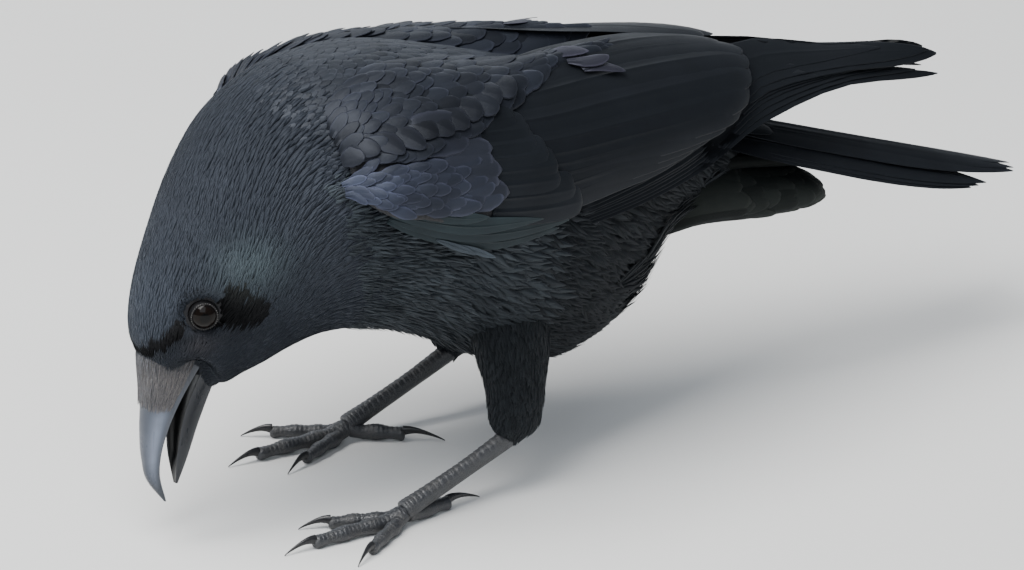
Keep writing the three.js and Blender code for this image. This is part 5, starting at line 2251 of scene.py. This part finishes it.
@dataclass
class Eye:
    """One eye: a wet ball and the bare rim of its lids.

    Attributes:
        side: Which eye.
        ball: Finish of the ball.
        rim: Finish of the lids.
        gaze: Direction the eye faces, on the left side.
        opening: Angle of the lids' edge off that direction, in degrees.
        almond: How much wider the opening is along the head than across.
        beads: How many pale spots the rim has.
    """

    side: Side
    ball: EyeFinish = EyeFinish()
    rim: LidFinish = LidFinish()
    gaze: tuple[float, float, float] = (1.0, -0.45, -0.04)
    opening: float = 50.0
    almond: float = 0.04
    beads: int = 36

    def _axes(self) -> tuple[Array, Array, Array]:
        """Finds the eye's own axes: out of it, along the head, and towards the crown."""
        gaze = unit(np.array(self.gaze))
        along = unit(AHEAD - gaze * dot(AHEAD, gaze))
        return gaze, along, np.cross(gaze, along)

    def _point(self, angle: Array, turn: Array, radius: Array | float) -> Array:
        """Gives places round the eye, from the angle off its gaze and the turn round it."""
        gaze, along, crown = self._axes()
        ring = along * np.cos(turn)[..., None] + crown * np.sin(turn)[..., None]
        way = gaze * np.cos(angle)[..., None] + ring * np.sin(angle)[..., None]
        points = EYE_CENTRE + way * np.broadcast_to(radius, angle.shape)[..., None]
        return points * (self.side.value, 1, 1)

    def build(self) -> list[Thing]:
        """Makes the ball, the lids and their beads.

        Returns:
            The three pieces.
        """
        mirrored = self.side is Side.RIGHT
        turn = np.linspace(-pi, pi, 64, endpoint=False)
        angles = np.radians(np.concatenate([[0.4], np.arange(3, 178, 3), [179.6]]))
        aa, tt = np.meshgrid(angles, turn, indexing="ij")
        ball = MeshStore()
        ball.add_plain(self._point(aa, tt, EYE_RADIUS), np.degrees(aa), mirrored)
        lip = np.radians(self.opening) * (1 + self.almond * np.cos(2 * turn))
        section = np.array([(1.0, 5.85), (-1.2, 6.05), (-1.0, 6.28), (0.8, 6.42), (3.5, 6.42), (7, 6.35),
                            (12, 6.3), (20, 6.1), (28, 5.6), (28, 5.2), (8, 5.4)])
        aa = lip[None, :] + np.radians(section[:, :1])
        tt = np.broadcast_to(turn, aa.shape)
        points = self._point(aa, tt, section[:, 1:] + 0 * aa)
        edge = np.exp(-(((section[:, 0] - 0.5) / 2.5) ** 2))[:, None] + 0 * aa
        lids = self._ring(points, 0.12 * edge, mirrored)
        label = self.side.label
        skin = self.rim.make()
        ridge = self._point(lip + radians(1.2), turn, 6.5)
        mesh = bpy.data.meshes.new(f"{label}_eyelid_beads")
        count = len(ridge)
        edges = [(i, (i + 1) % count) for i in range(count)]
        mesh.from_pydata([tuple(p) for p in in_frame(ridge)], edges, [])
        beads = new_object(f"{label}_eyelid_beads", mesh, skin)
        bead_tree().apply(beads, Beads=self.beads, Radius=0.15 * MM, Seed=5, Material=skin)
        add_numbers(beads.data, "Margin", np.ones(len(beads.data.vertices)))
        return [
            ball.object(f"{label}_eye_ball", self.ball.make(), coat=False),
            lids.object(f"{label}_eyelids", skin, coat=False),
            beads,
        ]

    def _ring(self, points: Array, margin: Array, flip: bool) -> MeshStore:
        """Makes the store of a ring closed both ways, from points shaped (section, turn, 3)."""
        store = MeshStore()
        rows, turns = points.shape[:2]
        here = np.arange(rows * turns).reshape(rows, turns)
        past = np.roll(here, -1, axis=0)
        corners = [here, past, np.roll(past, -1, axis=1), np.roll(here, -1, axis=1)]
        quads = np.stack(corners, -1).reshape(-1, 4)
        store.quads.append(quads[:, ::-1] if flip else quads)
        store.tris.append(np.zeros((0, 3), int))
        store.points.append(points.reshape(-1, 3))
        store.tone.append(np.ones((rows * turns, 3)))
        store.margin.append(margin.reshape(-1))
        store.count = rows * turns
        return store

    def dress(self, pieces: list[Thing]) -> None:
        """Ties the eye to the part."""
        settle(pieces[0], "eye", f"{self.side.label}_eye")
        settle(pieces[1], "scutes")
        settle(pieces[2], "scutes")


@dataclass
class Leg:
    """One bare shank with its four toes and claws.

    Attributes:
        foot: Where it stands.
        finish: Finish of the scaly skin.
        horn: Finish of the claws.
        pitch: Length of a scute on the shank, in millimetres.
        relief: How far a scute's edge stands out.
    """

    foot: Foot
    finish: ScuteFinish
    horn: HornFinish
    pitch: float = 2.3
    relief: float = 0.32

    def build(self) -> list[Thing]:
        """Makes the leg.

        Returns:
            The scaly skin and the claws.
        """
        label = self.foot.side.label
        store = MeshStore()
        along, front = [], []
        limbs: list[tuple[Surface, float, float]] = [(tarsus_form(self.foot), SHANK_LENGTH, 1.0)]
        claws = MeshStore()
        for toe in TOES:
            form = ToeSurface(self.foot, toe)
            limbs.append((form, toe.length, 0.8))
            add_tube(claws, ClawSurface(form), np.linspace(0, 1, 36), 28)
        for form, length, scale in limbs:
            rings = np.linspace(0, 1, int(length / 0.3))
            add_tube(store, form, rings, 32)
            aa, bb = np.meshgrid(rings * length, np.linspace(-pi, pi, 32, endpoint=False), indexing="ij")
            face = smooth(0.05, 0.55, np.cos(bb)) * smooth(0, 2, aa) * smooth(length, length - 1.5, aa)
            along.append((aa / scale).ravel())
            front.append((face * scale).ravel())
        scaly = self.finish.make()
        skin = store.object(f"{label}_leg_skin", scaly, coat=False)
        for name, rows in (("Along", along), ("Front", front)):
            add_numbers(skin.data, name, np.concatenate(rows))
        skin.data.attributes.remove(skin.data.attributes["Margin"])
        scute_tree().apply(skin, Pitch=self.pitch, Relief=self.relief * MM, Material=scaly)
        return [skin, claws.object(f"{label}_leg_claws", self.horn.make(), coat=False)]

    def dress(self, pieces: list[Thing]) -> None:
        """Ties the leg to the part."""
        label = self.foot.side.label
        settle(pieces[0], "scutes", f"{label}_tarsus", *(f"{label}_toe_{toe.name}" for toe in TOES))
        settle(pieces[1], "claws", *(f"{label}_claw_{toe.name}" for toe in TOES))


@dataclass(frozen=True)
class SoftBox:
    """One area light aimed at the bird.

    Attributes:
        name: Its name.
        azimuth: Direction it stands in, in degrees from the bird's front towards its left.
        elevation: Angle above the floor.
        distance: Distance from the bird, in metres.
        size: Width of its square, in metres.
        power: Its power in watts.
        colour: Its colour.
    """

    name: str
    azimuth: float
    elevation: float
    distance: float
    size: float
    power: float
    colour: Colour = (1.0, 1.0, 1.0)


@dataclass
class Studio:
    """Pale floor, soft light and the camera.

    Attributes:
        azimuth: The camera's direction, in degrees from the bird's front towards its left.
        elevation: Its angle above the floor.
        distance: Its distance in metres.
        lens: Its focal length in millimetres, on a sensor 36 mm wide.
        sky: Colour of the light from all round.
        sky_power: Its strength.
        lights: The soft boxes.
    """

    azimuth: float = 56.0
    elevation: float = 23.0
    distance: float = 3.0
    lens: float = 279.5
    sky: Colour = (0.8, 0.88, 1.0)
    sky_power: float = 0.3
    lights: tuple[SoftBox, ...] = (
        SoftBox("key", 5.0, 64.0, 2.2, 1.8, 110.0, (1.0, 0.99, 0.97)),
        SoftBox("front", -45.0, 16.0, 2.6, 1.4, 22.0, (0.92, 0.96, 1.0)),
        SoftBox("side", 52.0, 42.0, 2.6, 1.8, 24.0, (0.9, 0.95, 1.0)),
        SoftBox("rim", 240.0, 24.0, 2.8, 1.2, 9.0, (0.9, 0.95, 1.0)),
    )

    def build(self) -> list[Thing]:
        """Makes the studio.

        Returns:
            The floor, the lights and the camera.
        """
        target = Vector(in_frame(np.array([0.0, 0.0, 64.6])))
        floor_z = float(CAD_BOX[0][2])
        mesh = bpy.data.meshes.new("studio_floor")
        reach = 8.0
        corners = [(-reach, -reach), (reach, -reach), (reach, reach), (-reach, reach)]
        mesh.from_pydata([(x, y, floor_z) for x, y in corners], [], [(0, 1, 2, 3)])
        floor = new_object("studio_floor", mesh, FloorFinish().make())
        made = [floor]
        for box in self.lights:
            data = bpy.data.lights.new(f"studio_{box.name}", "AREA")
            data.shape = "SQUARE"
            data.size = box.size
            data.energy = box.power
            data.color = box.colour
            light = bpy.data.objects.new(f"studio_{box.name}", data)
            self._aim(light, target, box.azimuth, box.elevation, box.distance)
            made.append(light)
        world = bpy.data.worlds.new("studio_sky")
        world.use_nodes = True
        background = world.node_tree.nodes["Background"]
        background.inputs["Color"].default_value = (*self.sky, 1.0)
        background.inputs["Strength"].default_value = self.sky_power
        bpy.context.scene.world = world
        data = bpy.data.cameras.new("studio_camera")
        data.sensor_width = 36.0
        data.lens = self.lens
        data.clip_end = 60.0
        camera = bpy.data.objects.new("studio_camera", data)
        self._aim(camera, target, self.azimuth, self.elevation, self.distance)
        bpy.context.scene.camera = camera
        made.append(camera)
        return made

    def _aim(self, thing: Thing, target: Vector, azimuth: float, elevation: float, distance: float) -> None:
        """Stands a light or the camera round the bird and turns it to the bird."""
        a, e = radians(azimuth), radians(elevation)
        back = Vector((sin(a) * cos(e), -cos(a) * cos(e), sin(e)))
        thing.location = target + back * distance
        thing.rotation_euler = (-back).to_track_quat("-Z", "Y").to_euler()
        if thing.name not in bpy.context.scene.collection.objects:
            bpy.context.scene.collection.objects.link(thing)

    def dress(self, made: list[Thing]) -> None:
        """Keeps the studio out of the part."""


def main() -> None:
    """Builds every piece in order, then the studio."""
    logging.basicConfig(level=logging.INFO, format="%(name)s %(message)s")
    flight = PlumeFinish("crow_flight", (0.009, 0.0105, 0.0125), (0.013, 0.015, 0.018), 0.4,
                         rough=(0.38, 0.5), gloss=0.15, sheen=0.01, barb=0.55, relief=0.12)
    coverts = PlumeFinish("crow_coverts", (0.0105, 0.0115, 0.0145), (0.025, 0.026, 0.034), 0.8,
                          rough=(0.4, 0.52), gloss=0.24, sheen=0.03)
    horn = HornFinish("crow_claws", (0.016, 0.016, 0.018), (0.05, 0.05, 0.052), rough=(0.25, 0.4))
    scaly = ScuteFinish()
    works = [Skin(), HeadCoat(), BodyCoat(), TailPlumes(flight), Bill()]
    works += [WingPlumes(side, coverts, flight) for side in Side]
    works += [Eye(side) for side in Side]
    works += [Leg(foot, scaly, horn) for foot in FEET]
    for work in works:
        LOG.info("building %s", type(work).__name__)
        work.dress(work.build())
    studio = Studio()
    studio.dress(studio.build())


if __name__ == "__main__":
    main()
